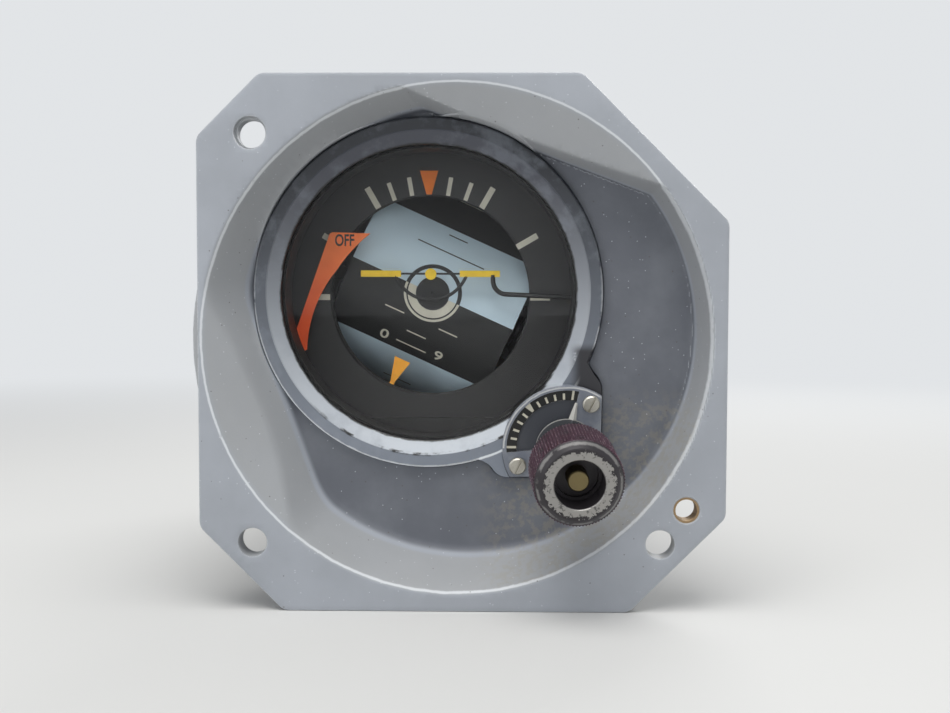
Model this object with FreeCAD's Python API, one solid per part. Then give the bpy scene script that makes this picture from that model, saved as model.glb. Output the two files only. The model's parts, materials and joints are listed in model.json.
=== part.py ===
"""Attitude indicator: a round gyro horizon held off-centre in a square mounting adapter.

Units are millimetres. X is right, Z is up and Y runs from the front to the back.
The origin is the centre of the mounting holes and of the rear spigot, on the adapter's front face.
"""
import FreeCAD, Part
import math
import os

# ---- driving dimensions ----------------------------------------------------------------

# mounting adapter
PLATE_X = (-59.6, 62.3)
PLATE_Z = (-63.2, 60.8)
PLATE_THICK = 5.5
PLATE_BACK = 17.0
CORNER_CUT = {"top_left": 14.5, "top_right": 33.7, "bottom_right": 22.2, "bottom_left": 19.5}
SHOULDER_R = 60.8
SPIGOT_R = 60.2
RIM_R = 59.0
DISH_SLOPE = 0.40
DISH_DEPTH = 5.0
COLLAR_R = (48.3, 39.9)
COLLAR_CENTRE = (-5.5, 5.8)
POCKET_FLOOR = 12.0
POCKET_FLOOR_R = 53.2
POCKET_FLOOR_CENTRE = (3.0, 2.0)
UPPER_WALL_ANGLE = 69.4
UPPER_WALL_OUT = (42.0, 40.3)
LOWER_WALL_ANGLE = 200.2
LOWER_WALL_OUT = (48.5, 40.2)
LOWER_WALL_FAR_OUT = (45.5, 40.2)
EDGE_ROUND = 1.6
EDGE_CHAMFER = 0.35
SCREW_TAP_R = 1.45
HOLE_PITCH = 94.4
HOLE_R = 3.3
COUNTERBORE_R = 3.75
COUNTERBORE_DEPTH = 2.0
INSERT_AT = (53.2, -39.2)
INSERT_R = 3.0
INSERT_BORE_R = 2.5

# instrument axis, seen from the front
AX = -7.0
AZ = 10.7

# bezel ring and window
RING_R = 41.5
RING_GAP = 0.3
RING_FRONT = 9.6
BEVEL_R = 38.6
APERTURE_R = 35.3
LIP_BACK = 12.7
BEZEL_BORE_R = 38.6
FLANGE_R = 48.9
FLANGE_BACK = 20.0
GLASS_THICK = 2.0
SEAL_THICK = 1.0
SLEEVE_R = 34.9
SLEEVE_BACK = 25.0

# corner boss and trim knob
BOSS_RIGHT = 34.25
BOSS_BOTTOM = -33.1
BOSS_CORNER_R = 8.0
TRIM_AT = FreeCAD.Vector(25.8, 9.0, -25.9)
KNOB_AXIS = FreeCAD.Vector(0.066, -0.979, -0.190)
TRIM_MID_ANGLE = 131.3
TRIM_PLATE_R = 15.0
TRIM_PLATE_THICK = 1.2
TRIM_BAND_R = (11.6, 14.1)
TRIM_HALF_TRAVEL = 52.9
TRIM_MARK_PITCH = 9.58
TRIM_SCREW_R = 12.25
TRIM_SCREW_SPREAD = 69.6
KNOB_R = 10.16
KNOB_BACK = 11.0
KNOB_FRONT = 26.2
KNOB_NECK_R = 8.9
KNOB_NECK = 2.2
KNOB_BEVEL_R = 8.4
KNOB_BEVEL = 1.5
KNOB_TEETH = 86
KNOB_TOOTH_DEPTH = 0.32
KNOB_BORE_R = 5.6
SHAFT_R = 2.4
POINTER_HUB_R = 7.2
SHAFT_COLLAR_R = 3.6
SHAFT_SUNK = 2.6
GRUB_BEHIND = 3.0
COLLAR_PASS_R = SHAFT_COLLAR_R + 0.6
SHAFT_CLEAR = 0.05
BUSH_R = 5.5
POINTER_LIFT = -0.12

# dial
MASK_FRONT = 30.0
MASK_BACK = 31.0
MASK_R = 41.7
MASK_OPENING_R = 25.1
MASK_OPENING_AT = (-0.55, -0.55)
SCALE_AT = (-0.6, -1.05)
SHELF_DROP = 31.5
PRINT_THICK = 0.12

# case
HOUSING_R = 42.6
HOUSING_BORE_R = 41.8
HOUSING_BACK = 36.0
CASE_R = 40.0
CASE_BORE_R = 39.0
CASE_BACK = 165.0
CASE_FLANGE_THICK = 1.5
COVER_BACK = 171.0
CONNECTOR_R = 10.5
CONNECTOR_BACK = 188.0
CONNECTOR_SCREW = 9.5
INSERT_BACK = CONNECTOR_BACK - 10
PIN_BACK = CONNECTOR_BACK - 4.8
ADAPTER_SCREW_ANGLES = (45.0, 225.0, 285.0, 345.0)
ADAPTER_SCREW_CIRCLE = 45.7

# roll gimbal, pitch drum and gyro
ROLL_AT_REST = 24.5
DRUM_Y = 61.0
DRUM_R = 29.0
DRUM_WALL = 1.6
DRUM_HALF = 22.4
POLE_CAP_R = 4.3
RING_Y = (31.5, 32.5)
RING_BORE_R = 25.5
RING_OUT_R = 33.0
ARM_U = (24.6, 27.6)
ARM_HALF_WIDTH = 7.0
ARM_BACK = 95.0
TRUNNION_R = 2.0
ROLL_SHAFT_R = 4.0
RUN_CLEAR = 0.05
BULKHEAD_Y = (100.0, 103.0)
ROTOR_R = 19.0
ROTOR_Y = (47.0, 75.0)
ROTOR_SHAFT_R = 1.0

# miniature aeroplane and flag
PLANE_Y = 28.0
PLANE_Z = 4.9
GUIDE_X = 37.0
FLAG_Y = (26.3, 26.8)
FLAG_PIVOT = (-34.6, -14.6)

V = FreeCAD.Vector
Y_AXIS = V(0, 1, 0)


# ---- helpers ---------------------------------------------------------------------------

def cylinder(radius, y_front, y_back, x=AX, z=AZ):
    """A round bar along Y."""
    return Part.makeCylinder(radius, y_back - y_front, V(x, y_front, z), Y_AXIS)


def tube(outer, inner, y_front, y_back, x=AX, z=AZ):
    """A round tube along Y."""
    return cylinder(outer, y_front, y_back, x, z).cut(cylinder(inner, y_front - 1, y_back + 1, x, z))


def turned(profile, x=AX, z=AZ):
    """A solid of revolution about a line along Y, from (radius, y) points."""
    points = [V(x + radius, y, z) for radius, y in profile]
    face = Part.Face(Part.makePolygon(points + [points[0]]))
    return face.revolve(V(x, 0, z), Y_AXIS, 360)


def block(x_range, y_range, z_range, x=0.0, z=0.0):
    """A rectangular block, with its X and Z ranges counted from (x, z)."""
    size = [x_range[1] - x_range[0], y_range[1] - y_range[0], z_range[1] - z_range[0]]
    return Part.makeBox(*size, V(x + x_range[0], y_range[0], z + z_range[0]))


def outline(start, steps, y):
    """A closed wire in the plane at y: each step is an end point, or a middle and an end point."""
    edges = []
    here = V(start[0], y, start[1])
    for step in steps:
        there = V(step[-1][0], y, step[-1][1])
        if len(step) == 2:
            middle = V(step[0][0], y, step[0][1])
            edges.append(Part.Arc(here, middle, there).toShape())
        else:
            edges.append(Part.LineSegment(here, there).toShape())
        here = there
    return Part.Wire(edges)


def prism(wire, thickness):
    """A flat piece from a wire, thickened towards the back."""
    return Part.Face(wire).extrude(V(0, thickness, 0))


def polygon(points, y_front, y_back):
    """A flat piece from straight-sided (x, z) points."""
    wire = Part.makePolygon([V(x, y_front, z) for x, z in points + [points[0]]])
    return prism(wire, y_back - y_front)


def polar(radius, angle, x=AX, z=AZ):
    """A point at an angle in degrees, counter-clockwise as seen from the front."""
    return (x + radius * math.cos(math.radians(angle)), z + radius * math.sin(math.radians(angle)))


def spun(shape, angle, x=AX, z=AZ):
    """A copy turned counter-clockwise as seen from the front."""
    copy = shape.copy()
    copy.rotate(V(x, 0, z), V(0, -1, 0), angle)
    return copy


def rolled(shape):
    """Parts of the roll gimbal are drawn upright about (AX, AZ), then rolled to their place."""
    return spun(shape, -ROLL_AT_REST)


def canted(shape):
    """Trim parts are drawn with their axis along -Y from the origin, then set on the boss."""
    copy = shape.copy()
    turn = FreeCAD.Rotation(V(0, -1, 0), KNOB_AXIS)
    copy.Placement = FreeCAD.Placement(TRIM_AT, turn).multiply(copy.Placement)
    return copy


def rod(points, radius, bend):
    """A round wire through the points, with each inner corner rounded to the bend radius."""
    edges = []
    here = points[0]
    for corner, after in zip(points[1:-1], points[2:]):
        back = (here - corner).normalize()
        ahead = (after - corner).normalize()
        half = back.getAngle(ahead) / 2
        reach = bend / math.tan(half)
        start = corner + back * reach
        end = corner + ahead * reach
        centre = corner + (back + ahead).normalize() * (bend / math.sin(half))
        middle = centre + (corner - centre).normalize() * bend
        edges.append(Part.LineSegment(here, start).toShape())
        edges.append(Part.Arc(start, middle, end).toShape())
        here = end
    edges.append(Part.LineSegment(here, points[-1]).toShape())
    path = Part.Wire(edges)
    section = Part.Wire(Part.makeCircle(radius, points[0], points[1] - points[0]))
    return path.makePipeShell([section], True, True)


def slotted_screw(head_r, head_high, shank_r, length, slot_angle=0.0):
    """A slotted screw with its head's underside at y = 0, the head in front and the shank behind."""
    head = cylinder(head_r, -head_high, 0, 0, 0)
    crown = Part.makeCone(head_r - 0.3, head_r, 0.3, V(0, -head_high - 0.3, 0), Y_AXIS)
    slot = block((-0.3, 0.3), (-head_high - 1, -head_high + 0.3), (-head_r - 1, head_r + 1))
    screw = head.fuse(crown).cut(spun(slot, slot_angle, 0, 0)).fuse(cylinder(shank_r, 0, length, 0, 0))
    return screw.removeSplitter()


def moved(shape, x, y, z):
    """A copy moved by (x, y, z)."""
    copy = shape.copy()
    copy.translate(V(x, y, z))
    return copy


def both_sides(shape):
    """The shape and its twin on the other side of the upright plane through the instrument axis."""
    return [shape, shape.mirror(V(AX, 0, AZ), V(1, 0, 0))]


def save(node, *solids):
    """One STEP file for each node, a single solid or a group of like ones."""
    shape = solids[0] if len(solids) == 1 else Part.makeCompound(list(solids))
    shape.exportStep("parts/" + node + ".step")
    print(node, len(shape.Solids), round(shape.Volume, 1), shape.isValid())


# ---- mounting adapter ------------------------------------------------------------------

def boss_outline(gap, y):
    """The bezel's square corner, from its upper shoulder round to its left shoulder."""
    right = BOSS_RIGHT + gap
    bottom = BOSS_BOTTOM - gap
    shoulder_top = polar(RING_R + gap, -23.5)
    shoulder_left = polar(RING_R + gap, -73.0)
    corner = (right - BOSS_CORNER_R, bottom + BOSS_CORNER_R)
    corner_mid = polar(BOSS_CORNER_R, -45.0, *corner)
    top_mid = ((shoulder_top[0] + right) / 2, -8.8 + gap * 0.7)
    left_mid = (8.4 - gap * 0.7, (shoulder_left[1] + bottom) / 2)
    steps = [
        [(shoulder_top[0] + 0.75, shoulder_top[1] - 1.5 + gap * 0.3), top_mid],
        [(right - 0.45, -10.3), (right, -11.9)],
        [(right, corner[1])],
        [corner_mid, (corner[0], bottom)],
        [(11.9, bottom)],
        [(9.9, bottom + 0.55), left_mid],
        [(shoulder_left[0] + 1.7, shoulder_left[1] - 0.65), shoulder_left],
        [polar(BEVEL_R + 0.2, -73.0)],
        [polar(BEVEL_R + 0.2, -48.0), polar(BEVEL_R + 0.2, -23.5)],
        [shoulder_top],
    ]
    return outline(shoulder_top, steps, y)


def adapter_blank():
    """The eight-sided plate and the round spigot behind it."""
    left, right = PLATE_X
    low, high = PLATE_Z
    cut = CORNER_CUT
    points = [
        (left + cut["top_left"], high), (right - cut["top_right"], high),
        (right, high - cut["top_right"]), (right, low + cut["bottom_right"]),
        (right - cut["bottom_right"], low), (left + cut["bottom_left"], low),
        (left, low + cut["bottom_left"]), (left, high - cut["top_left"]),
    ]
    plate = polygon(points, 0, PLATE_THICK)
    upright = [edge for edge in plate.Edges if abs(edge.tangentAt(edge.FirstParameter).y) > 0.9]
    plate = plate.makeFillet(EDGE_ROUND, upright)
    front = [edge for edge in plate.Edges if edge.BoundBox.YMax < 0.01]
    plate = plate.makeChamfer(EDGE_CHAMFER, front)
    shoulder = cylinder(SHOULDER_R, 0.6, PLATE_THICK, 0, 0)
    spigot = cylinder(SPIGOT_R, 1.0, PLATE_BACK, 0, 0)
    return plate.fuse([shoulder, spigot]).removeSplitter()


def wall_point(angle, distance, along):
    """A point on a pocket wall that lies across a direction from the instrument axis."""
    foot = polar(distance, angle)
    side = angle - 90.0 if angle < 180.0 else angle + 90.0
    return polar(along, side, *foot)


def pocket():
    """The finger pocket: a leaning round wall, cut off by two straight sloped walls."""
    rim = Part.Wire(Part.makeCircle(RIM_R - 0.1, V(0, 0, 0), Y_AXIS))
    x, z = POCKET_FLOOR_CENTRE
    foot = Part.Wire(Part.makeCircle(POCKET_FLOOR_R, V(x, POCKET_FLOOR, z), Y_AXIS))
    round_wall = Part.makeLoft([rim, foot], True, True)
    rings = []
    for level, y in enumerate((0.0, POCKET_FLOOR)):
        upper = UPPER_WALL_OUT[level]
        corners = [
            wall_point(UPPER_WALL_ANGLE, upper, 0.0), wall_point(UPPER_WALL_ANGLE, upper, 90.0),
            (2 * PLATE_X[1], 2 * PLATE_Z[0]),
            wall_point(LOWER_WALL_ANGLE, LOWER_WALL_FAR_OUT[level], 90.0),
            wall_point(LOWER_WALL_ANGLE, LOWER_WALL_OUT[level], 0.0),
        ]
        rings.append(Part.makePolygon([V(cx, y, cz) for cx, cz in corners + [corners[0]]]))
    straight_walls = Part.makeLoft(rings, True, True)
    return round_wall.common(straight_walls)


def mounting_adapter():
    body = adapter_blank()
    dish = Part.makeCone(RIM_R, RIM_R - DISH_DEPTH / DISH_SLOPE, DISH_DEPTH, V(0, 0, 0), Y_AXIS)
    collar_at = V(COLLAR_CENTRE[0], 0, COLLAR_CENTRE[1])
    collar = Part.makeCone(*COLLAR_R, POCKET_FLOOR, collar_at, Y_AXIS)
    body = body.cut(dish).cut(collar).cut(pocket())
    body = body.cut(cylinder(RING_R + RING_GAP, -1, PLATE_BACK + 1))
    body = body.cut(prism(boss_outline(RING_GAP + 0.15, 5.0), PLATE_BACK))
    half = HOLE_PITCH / 2
    for x, z in ((-half, half), (-half, -half), (half, -half)):
        body = body.cut(cylinder(HOLE_R, -1, PLATE_THICK + 1, x, z))
        flare = Part.makeCone(HOLE_R + 0.4, HOLE_R, 0.4, V(x, 0, z), Y_AXIS)
        body = body.cut(flare)
    body = body.cut(cylinder(COUNTERBORE_R, -1, COUNTERBORE_DEPTH, -half, half))
    body = body.cut(cylinder(INSERT_R, -1, PLATE_THICK + 1, *INSERT_AT))
    for angle in ADAPTER_SCREW_ANGLES:
        at = polar(ADAPTER_SCREW_CIRCLE, angle)
        body = body.cut(cylinder(SCREW_TAP_R, PLATE_BACK - 3.8, PLATE_BACK + 1, *at))
    return body


def threaded_insert():
    """A wire thread insert: a thin sleeve with a few turns of V-shaped ridges inside."""
    turns = 5
    pitch = (PLATE_THICK - 0.6) / turns
    profile = [(INSERT_R, 0.3), (INSERT_R, PLATE_THICK - 0.3)]
    for turn in range(turns, 0, -1):
        y = 0.3 + turn * pitch
        profile.append((INSERT_BORE_R, y))
        profile.append((INSERT_BORE_R, y - pitch * 0.45))
        profile.append((INSERT_BORE_R + 0.22, y - pitch * 0.7))
    profile.append((INSERT_BORE_R, 0.3))
    return turned(profile, *INSERT_AT)


# ---- bezel, window and case ------------------------------------------------------------

def canted_half_space(offset):
    """Everything in front of the trim plate's plane, moved forward by offset along the knob axis."""
    return canted(block((-60, 60), (-80, -offset), (-60, 60)))


def front_bezel():
    ring = turned([
        (RING_R, FLANGE_BACK), (RING_R, RING_FRONT + 0.4), (RING_R - 0.4, RING_FRONT),
        (BEVEL_R, RING_FRONT), (BEVEL_R - 0.25, RING_FRONT + 0.3), (APERTURE_R, RING_FRONT + 2.1),
        (APERTURE_R, LIP_BACK), (BEZEL_BORE_R, LIP_BACK), (BEZEL_BORE_R, FLANGE_BACK),
    ])
    flange = tube(FLANGE_R, RING_R - 1, PLATE_BACK, FLANGE_BACK).common(
        cylinder(SPIGOT_R - 0.7, PLATE_BACK, FLANGE_BACK, 0, 0))
    corner = prism(boss_outline(0.0, RING_FRONT), FLANGE_BACK - RING_FRONT)
    seat = canted(cylinder(TRIM_PLATE_R - 0.3, TRIM_PLATE_THICK, 9.0, 0, 0))
    seat = seat.common(corner_space())
    seat = seat.cut(cylinder(APERTURE_R, -5, LIP_BACK)).cut(cylinder(BEZEL_BORE_R, LIP_BACK, 30))
    corner = corner.cut(canted_half_space(-TRIM_PLATE_THICK).common(
        canted(cylinder(TRIM_PLATE_R + 0.2, -30, 30, 0, 0))))
    body = ring.fuse([flange, corner, seat]).removeSplitter()
    body = body.cut(canted(cylinder(BUSH_R, -2, 40, 0, 0)))
    for angle in ADAPTER_SCREW_ANGLES:
        body = body.cut(cylinder(1.8, PLATE_BACK - 1, FLANGE_BACK + 1, *polar(ADAPTER_SCREW_CIRCLE, angle)))
    for side in (-1, 1):
        at = polar(TRIM_SCREW_R, TRIM_MID_ANGLE + side * TRIM_SCREW_SPREAD, 0, 0)
        body = body.cut(canted(cylinder(1.0, 0, 6.0, *at)))
    return body


def corner_space():
    """The space over the square corner, which cuts the round trim parts flush with its sides."""
    right = BOSS_RIGHT - 0.1
    bottom = BOSS_BOTTOM + 0.1
    corner = (right - BOSS_CORNER_R, bottom + BOSS_CORNER_R)
    steps = [
        [(right, corner[1])], [polar(BOSS_CORNER_R, -45.0, *corner), (corner[0], bottom)],
        [(-20.0, bottom)], [(-20.0, 20.0)], [(right, 20.0)],
    ]
    return prism(outline((right, 20.0), steps, -10.0), 40.0)


def window_parts():
    seal_front = LIP_BACK + GLASS_THICK
    sleeve_front = seal_front + SEAL_THICK
    save("window_glass", cylinder(BEZEL_BORE_R - 0.1, LIP_BACK, seal_front))
    save("glass_seal", tube(BEZEL_BORE_R - 0.05, 36.2, seal_front, sleeve_front))
    sleeve = turned([
        (BEZEL_BORE_R - 0.05, sleeve_front), (BEZEL_BORE_R - 0.05, FLANGE_BACK), (36.4, FLANGE_BACK + 0.6),
        (36.4, SLEEVE_BACK), (SLEEVE_R, SLEEVE_BACK), (SLEEVE_R, sleeve_front),
    ])
    save("glass_retaining_sleeve", sleeve)


def case_shell():
    flange_back = FLANGE_BACK + CASE_FLANGE_THICK
    shell = turned([
        (FLANGE_R - 0.3, FLANGE_BACK), (FLANGE_R - 0.3, flange_back), (HOUSING_R, flange_back),
        (HOUSING_R, HOUSING_BACK - 0.6), (CASE_R, HOUSING_BACK + 1.2), (CASE_R, CASE_BACK),
        (CASE_BORE_R, CASE_BACK), (CASE_BORE_R, HOUSING_BACK), (HOUSING_BORE_R, HOUSING_BACK - 1.2),
        (HOUSING_BORE_R, FLANGE_BACK),
    ])
    shell = shell.common(cylinder(SPIGOT_R - 0.8, 0, 200, 0, 0))
    shell = shell.cut(canted(cylinder(6.4, 5, 34, 0, 0)))
    for angle in ADAPTER_SCREW_ANGLES:
        at = polar(ADAPTER_SCREW_CIRCLE, angle)
        shell = shell.cut(cylinder(1.8, FLANGE_BACK - 1, flange_back + 1, *at))
    for angle in (45, 135, 225, 315):
        hole = Part.makeCylinder(1.3, 6, V(AX + CASE_BORE_R - 3, CASE_BACK - 2.5, AZ), V(1, 0, 0))
        shell = shell.cut(spun(hole, angle))
    return shell


def gear_housing():
    """The cup behind the flange that covers the canted shaft, fitted round the outside of the case."""
    cup = canted(cylinder(7.6, 10.0, 36.5, 0, 0)).cut(canted(cylinder(6.4, 5.0, 35.2, 0, 0)))
    cup = cup.cut(cylinder(70, -10, FLANGE_BACK + CASE_FLANGE_THICK, 0, 0))
    cup = cup.cut(cylinder(HOUSING_R, 0, HOUSING_BACK - 0.6)).cut(cylinder(CASE_R, 0, 60))
    cone = Part.makeCone(HOUSING_R, CASE_R, 1.8, V(AX, HOUSING_BACK - 0.6, AZ), Y_AXIS)
    cup = cup.cut(cone)
    return max(cup.Solids, key=lambda solid: solid.Volume)


def rear_cover():
    cover = turned([
        (0.0, CASE_BACK), (0.0, COVER_BACK), (CASE_R - 1.0, COVER_BACK), (CASE_R, COVER_BACK - 1.0),
        (CASE_R, CASE_BACK), (CASE_BORE_R - 0.05, CASE_BACK), (CASE_BORE_R - 0.05, CASE_BACK - 4.5),
        (CASE_BORE_R - 2.5, CASE_BACK - 4.5), (CASE_BORE_R - 2.5, CASE_BACK),
    ])
    cover = cover.cut(cylinder(9.3, CASE_BACK - 5, COVER_BACK + 1))
    for x in (-CONNECTOR_SCREW, CONNECTOR_SCREW):
        for z in (-CONNECTOR_SCREW, CONNECTOR_SCREW):
            cover = cover.cut(cylinder(1.15, CASE_BACK, COVER_BACK + 1, AX + x, AZ + z))
    for angle in (45, 135, 225, 315):
        hole = Part.makeCylinder(1.0, 4, V(AX + CASE_BORE_R - 3, CASE_BACK - 2.5, AZ), V(1, 0, 0))
        cover = cover.cut(spun(hole, angle))
    return cover


def radial_screws():
    """Four screws through the case wall into the rear cover's skirt."""
    screws = []
    screw = slotted_screw(2.0, 0.8, 0.95, 3.2)
    screw.rotate(V(0, 0, 0), V(0, 0, 1), 90)
    screw.translate(V(AX + CASE_R, CASE_BACK - 2.5, AZ))
    for angle in (45, 135, 225, 315):
        screws.append(spun(screw, angle))
    return screws


def rear_connector():
    flange = block((-12, 12), (COVER_BACK, COVER_BACK + 2.0), (-12, 12), AX, AZ)
    upright = [edge for edge in flange.Edges if abs(edge.tangentAt(edge.FirstParameter).y) > 0.9]
    flange = flange.makeFillet(2.5, upright)
    barrel = turned([
        (9.2, COVER_BACK - 4), (9.2, COVER_BACK + 1), (CONNECTOR_R, COVER_BACK + 1),
        (CONNECTOR_R, CONNECTOR_BACK - 0.5), (CONNECTOR_R - 0.5, CONNECTOR_BACK), (9.0, CONNECTOR_BACK),
        (9.0, COVER_BACK - 4),
    ])
    shell = flange.cut(cylinder(9.0, COVER_BACK - 5, COVER_BACK + 5)).fuse(barrel).removeSplitter()
    screws = []
    for x in (-CONNECTOR_SCREW, CONNECTOR_SCREW):
        for z in (-CONNECTOR_SCREW, CONNECTOR_SCREW):
            shell = shell.cut(cylinder(1.25, COVER_BACK - 1, COVER_BACK + 3, AX + x, AZ + z))
            screw = slotted_screw(1.9, 0.9, 1.1, 3.5, 30.0)
            screw.rotate(V(0, 0, 0), V(0, 0, 1), 180)
            screws.append(moved(screw, AX + x, COVER_BACK + 2.0, AZ + z))
    save("connector_shell", shell)
    save("connector_screws", *screws)
    save("connector_insert", cylinder(8.95, COVER_BACK - 3.5, INSERT_BACK))
    pins = [cylinder(0.8, INSERT_BACK, PIN_BACK)]
    for radius, count in ((3.4, 4), (6.4, 9)):
        for i in range(count):
            at = polar(radius, 360.0 * i / count + 20.0)
            pins.append(cylinder(0.6, INSERT_BACK, PIN_BACK - 0.4, *at))
    save("connector_pins", *pins)


def adapter_screws():
    """Screws that clamp the case flange and the bezel flange to the adapter from behind."""
    screws = []
    for i, angle in enumerate(ADAPTER_SCREW_ANGLES):
        screw = slotted_screw(2.6, 1.6, 1.4, 8.0, 25.0 * i)
        screw.rotate(V(0, 0, 0), V(0, 0, 1), 180)
        x, z = polar(ADAPTER_SCREW_CIRCLE, angle)
        screws.append(moved(screw, x, FLANGE_BACK + CASE_FLANGE_THICK, z))
    return screws


# ---- trim scale and knob ---------------------------------------------------------------

def sector(radius_in, radius_out, angle_from, angle_to, y_front, y_back):
    """A ring sector about the trim axis, before canting."""
    middle = (angle_from + angle_to) / 2
    steps = [
        [polar(radius_out, middle, 0, 0), polar(radius_out, angle_to, 0, 0)],
        [polar(radius_in, angle_to, 0, 0)],
        [polar(radius_in, middle, 0, 0), polar(radius_in, angle_from, 0, 0)],
        [polar(radius_out, angle_from, 0, 0)],
    ]
    return prism(outline(polar(radius_out, angle_from, 0, 0), steps, y_front), y_back - y_front)


def trim_scale_plate():
    """A disc with a raised rim, a scale band and a sunk floor that the pointer sweeps."""
    disc = cylinder(TRIM_PLATE_R, 0, TRIM_PLATE_THICK, 0, 0)
    spread = TRIM_HALF_TRAVEL + 0.4
    floor = sector(2.0, TRIM_BAND_R[0], TRIM_MID_ANGLE - spread, TRIM_MID_ANGLE + spread, -1, 0.6)
    band = sector(TRIM_BAND_R[0] - 0.1, TRIM_BAND_R[1], TRIM_MID_ANGLE - spread,
                  TRIM_MID_ANGLE + spread, -1, 0.3)
    disc = disc.cut(floor).cut(band).cut(cylinder(BUSH_R, -1, 3, 0, 0))
    for side in (-1, 1):
        at = polar(TRIM_SCREW_R, TRIM_MID_ANGLE + side * TRIM_SCREW_SPREAD, 0, 0)
        disc = disc.cut(cylinder(1.15, -1, 3, *at))
    return canted(disc).common(corner_space())


def trim_marks():
    """Eleven raised marks on the band: long at both ends, a wedge in the middle."""
    inner, outer = TRIM_BAND_R
    marks = []
    for i in range(-5, 6):
        reach = 13.3
        half = 0.27
        if abs(i) == 5:
            reach = outer - 0.05
        points = [(inner + 0.2, -half), (reach, -half), (reach, half), (inner + 0.2, half)]
        if i == 0:
            points = [(inner + 0.3, -0.3), (outer - 0.1, -0.75), (outer - 0.1, 0.75),
                      (inner + 0.3, 0.3)]
        mark = polygon(points, 0.3 - PRINT_THICK, 0.3)
        marks.append(canted(spun(mark, TRIM_MID_ANGLE + i * TRIM_MARK_PITCH, 0, 0)))
    return marks


def trim_pointer():
    """A hub disc on the sleeve with a tapered pointer that has a ridge along its middle."""
    hub = tube(POINTER_HUB_R, SHAFT_R + SHAFT_CLEAR, -0.85, POINTER_LIFT, 0, 0)
    base = [V(6.5, POINTER_LIFT, -1.05), V(6.5, POINTER_LIFT, 1.05), V(6.5, -1.25, 0.0)]
    tip = [V(11.3, POINTER_LIFT, -0.3), V(11.3, POINTER_LIFT, 0.3), V(11.3, -0.5, 0.0)]
    wedge = Part.makeLoft([Part.makePolygon(ring + [ring[0]]) for ring in (base, tip)], True, True)
    at_rest = TRIM_MID_ANGLE - TRIM_HALF_TRAVEL
    return canted(hub.fuse(spun(wedge, at_rest, 0, 0)))


def trim_sleeve():
    """The sleeve that the knob's shaft turns, with the lift pinion cut on its back end."""
    sleeve = cylinder(SHAFT_R + 1.0, POINTER_LIFT, 18.0, 0, 0)
    teeth = 14
    points = []
    for i in range(teeth):
        for radius, share in ((4.2, 0.0), (4.2, 0.35), (5.4, 0.5), (5.4, 0.75)):
            points.append(polar(radius, 360.0 * (i + share) / teeth, 0, 0))
    sleeve = sleeve.fuse(polygon(points, 13.6, 17.0))
    return canted(sleeve.cut(cylinder(SHAFT_R + SHAFT_CLEAR, -1, 20, 0, 0)))


def knob():
    """A turned knob with a fine straight knurl, a bevelled front and a counterbored face."""
    front = -KNOB_FRONT
    back = -KNOB_BACK
    knurl_back = back - KNOB_NECK
    points = []
    for i in range(KNOB_TEETH):
        points.append(polar(KNOB_R, 360.0 * i / KNOB_TEETH, 0, 0))
        points.append(polar(KNOB_R - KNOB_TOOTH_DEPTH, 360.0 * (i + 0.5) / KNOB_TEETH, 0, 0))
    knurled = polygon(points, front + KNOB_BEVEL, knurl_back)
    root_r = KNOB_R - KNOB_TOOTH_DEPTH
    core = turned([
        (SHAFT_R + 0.01, front + 7.0), (KNOB_BORE_R - 0.7, front + 7.0), (KNOB_BORE_R - 0.7, front + 5.8),
        (KNOB_BORE_R, front + 5.8), (KNOB_BORE_R, front + 0.25), (KNOB_BORE_R + 0.25, front),
        (KNOB_BEVEL_R - 0.2, front), (KNOB_BEVEL_R, front + 0.12), (root_r + 0.1, front + KNOB_BEVEL),
        (root_r + 0.1, knurl_back), (KNOB_NECK_R, knurl_back + 0.3), (KNOB_NECK_R, back - 0.3),
        (KNOB_NECK_R - 0.3, back), (7.6, back), (7.6, back - 2.6),
        (SHAFT_R + 0.01, back - 2.6),
    ], 0, 0)
    sleeve = knurled.cut(cylinder(root_r - 0.8, front, back, 0, 0))
    body = core.fuse(sleeve)
    screw_hole = Part.makeCylinder(1.25, 9, V(0, (front + back) / 2 + GRUB_BEHIND, -2), V(0, 0, -1))
    return canted(body.cut(screw_hole))


def knob_shaft():
    """The canted shaft, its domed end in the knob's face and a grooved collar at the back."""
    front = -KNOB_FRONT + SHAFT_SUNK
    shaft = turned([
        (0.0, front), (SHAFT_R - 0.25, front), (SHAFT_R, front + 0.25), (SHAFT_R, 30.0),
        (SHAFT_COLLAR_R, 30.0), (SHAFT_COLLAR_R, 31.2), (2.6, 31.2), (2.6, 32.4), (SHAFT_COLLAR_R, 32.4),
        (SHAFT_COLLAR_R, 33.6), (0.0, 33.6),
    ], 0, 0)
    return canted(shaft)


def grub_screw():
    middle = -(KNOB_FRONT + KNOB_BACK) / 2 + GRUB_BEHIND
    screw = Part.makeCylinder(1.24, 6.2, V(0, middle, -SHAFT_R), V(0, 0, -1))
    socket = Part.makeCylinder(0.6, 2.0, V(0, middle, -7.0), V(0, 0, -1))
    return canted(screw.cut(socket))


def cage_spring():
    """The return spring at its closed length, round the shaft in front of the collar."""
    coils = 3
    wire_r = 0.45
    rings = []
    for i in range(coils):
        centre = V(0, 29.95 - wire_r - i * (2 * wire_r + 0.02), 0)
        rings.append(Part.makeTorus(SHAFT_R + wire_r + 0.15, wire_r, centre, Y_AXIS))
    return [canted(ring) for ring in rings]


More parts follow.
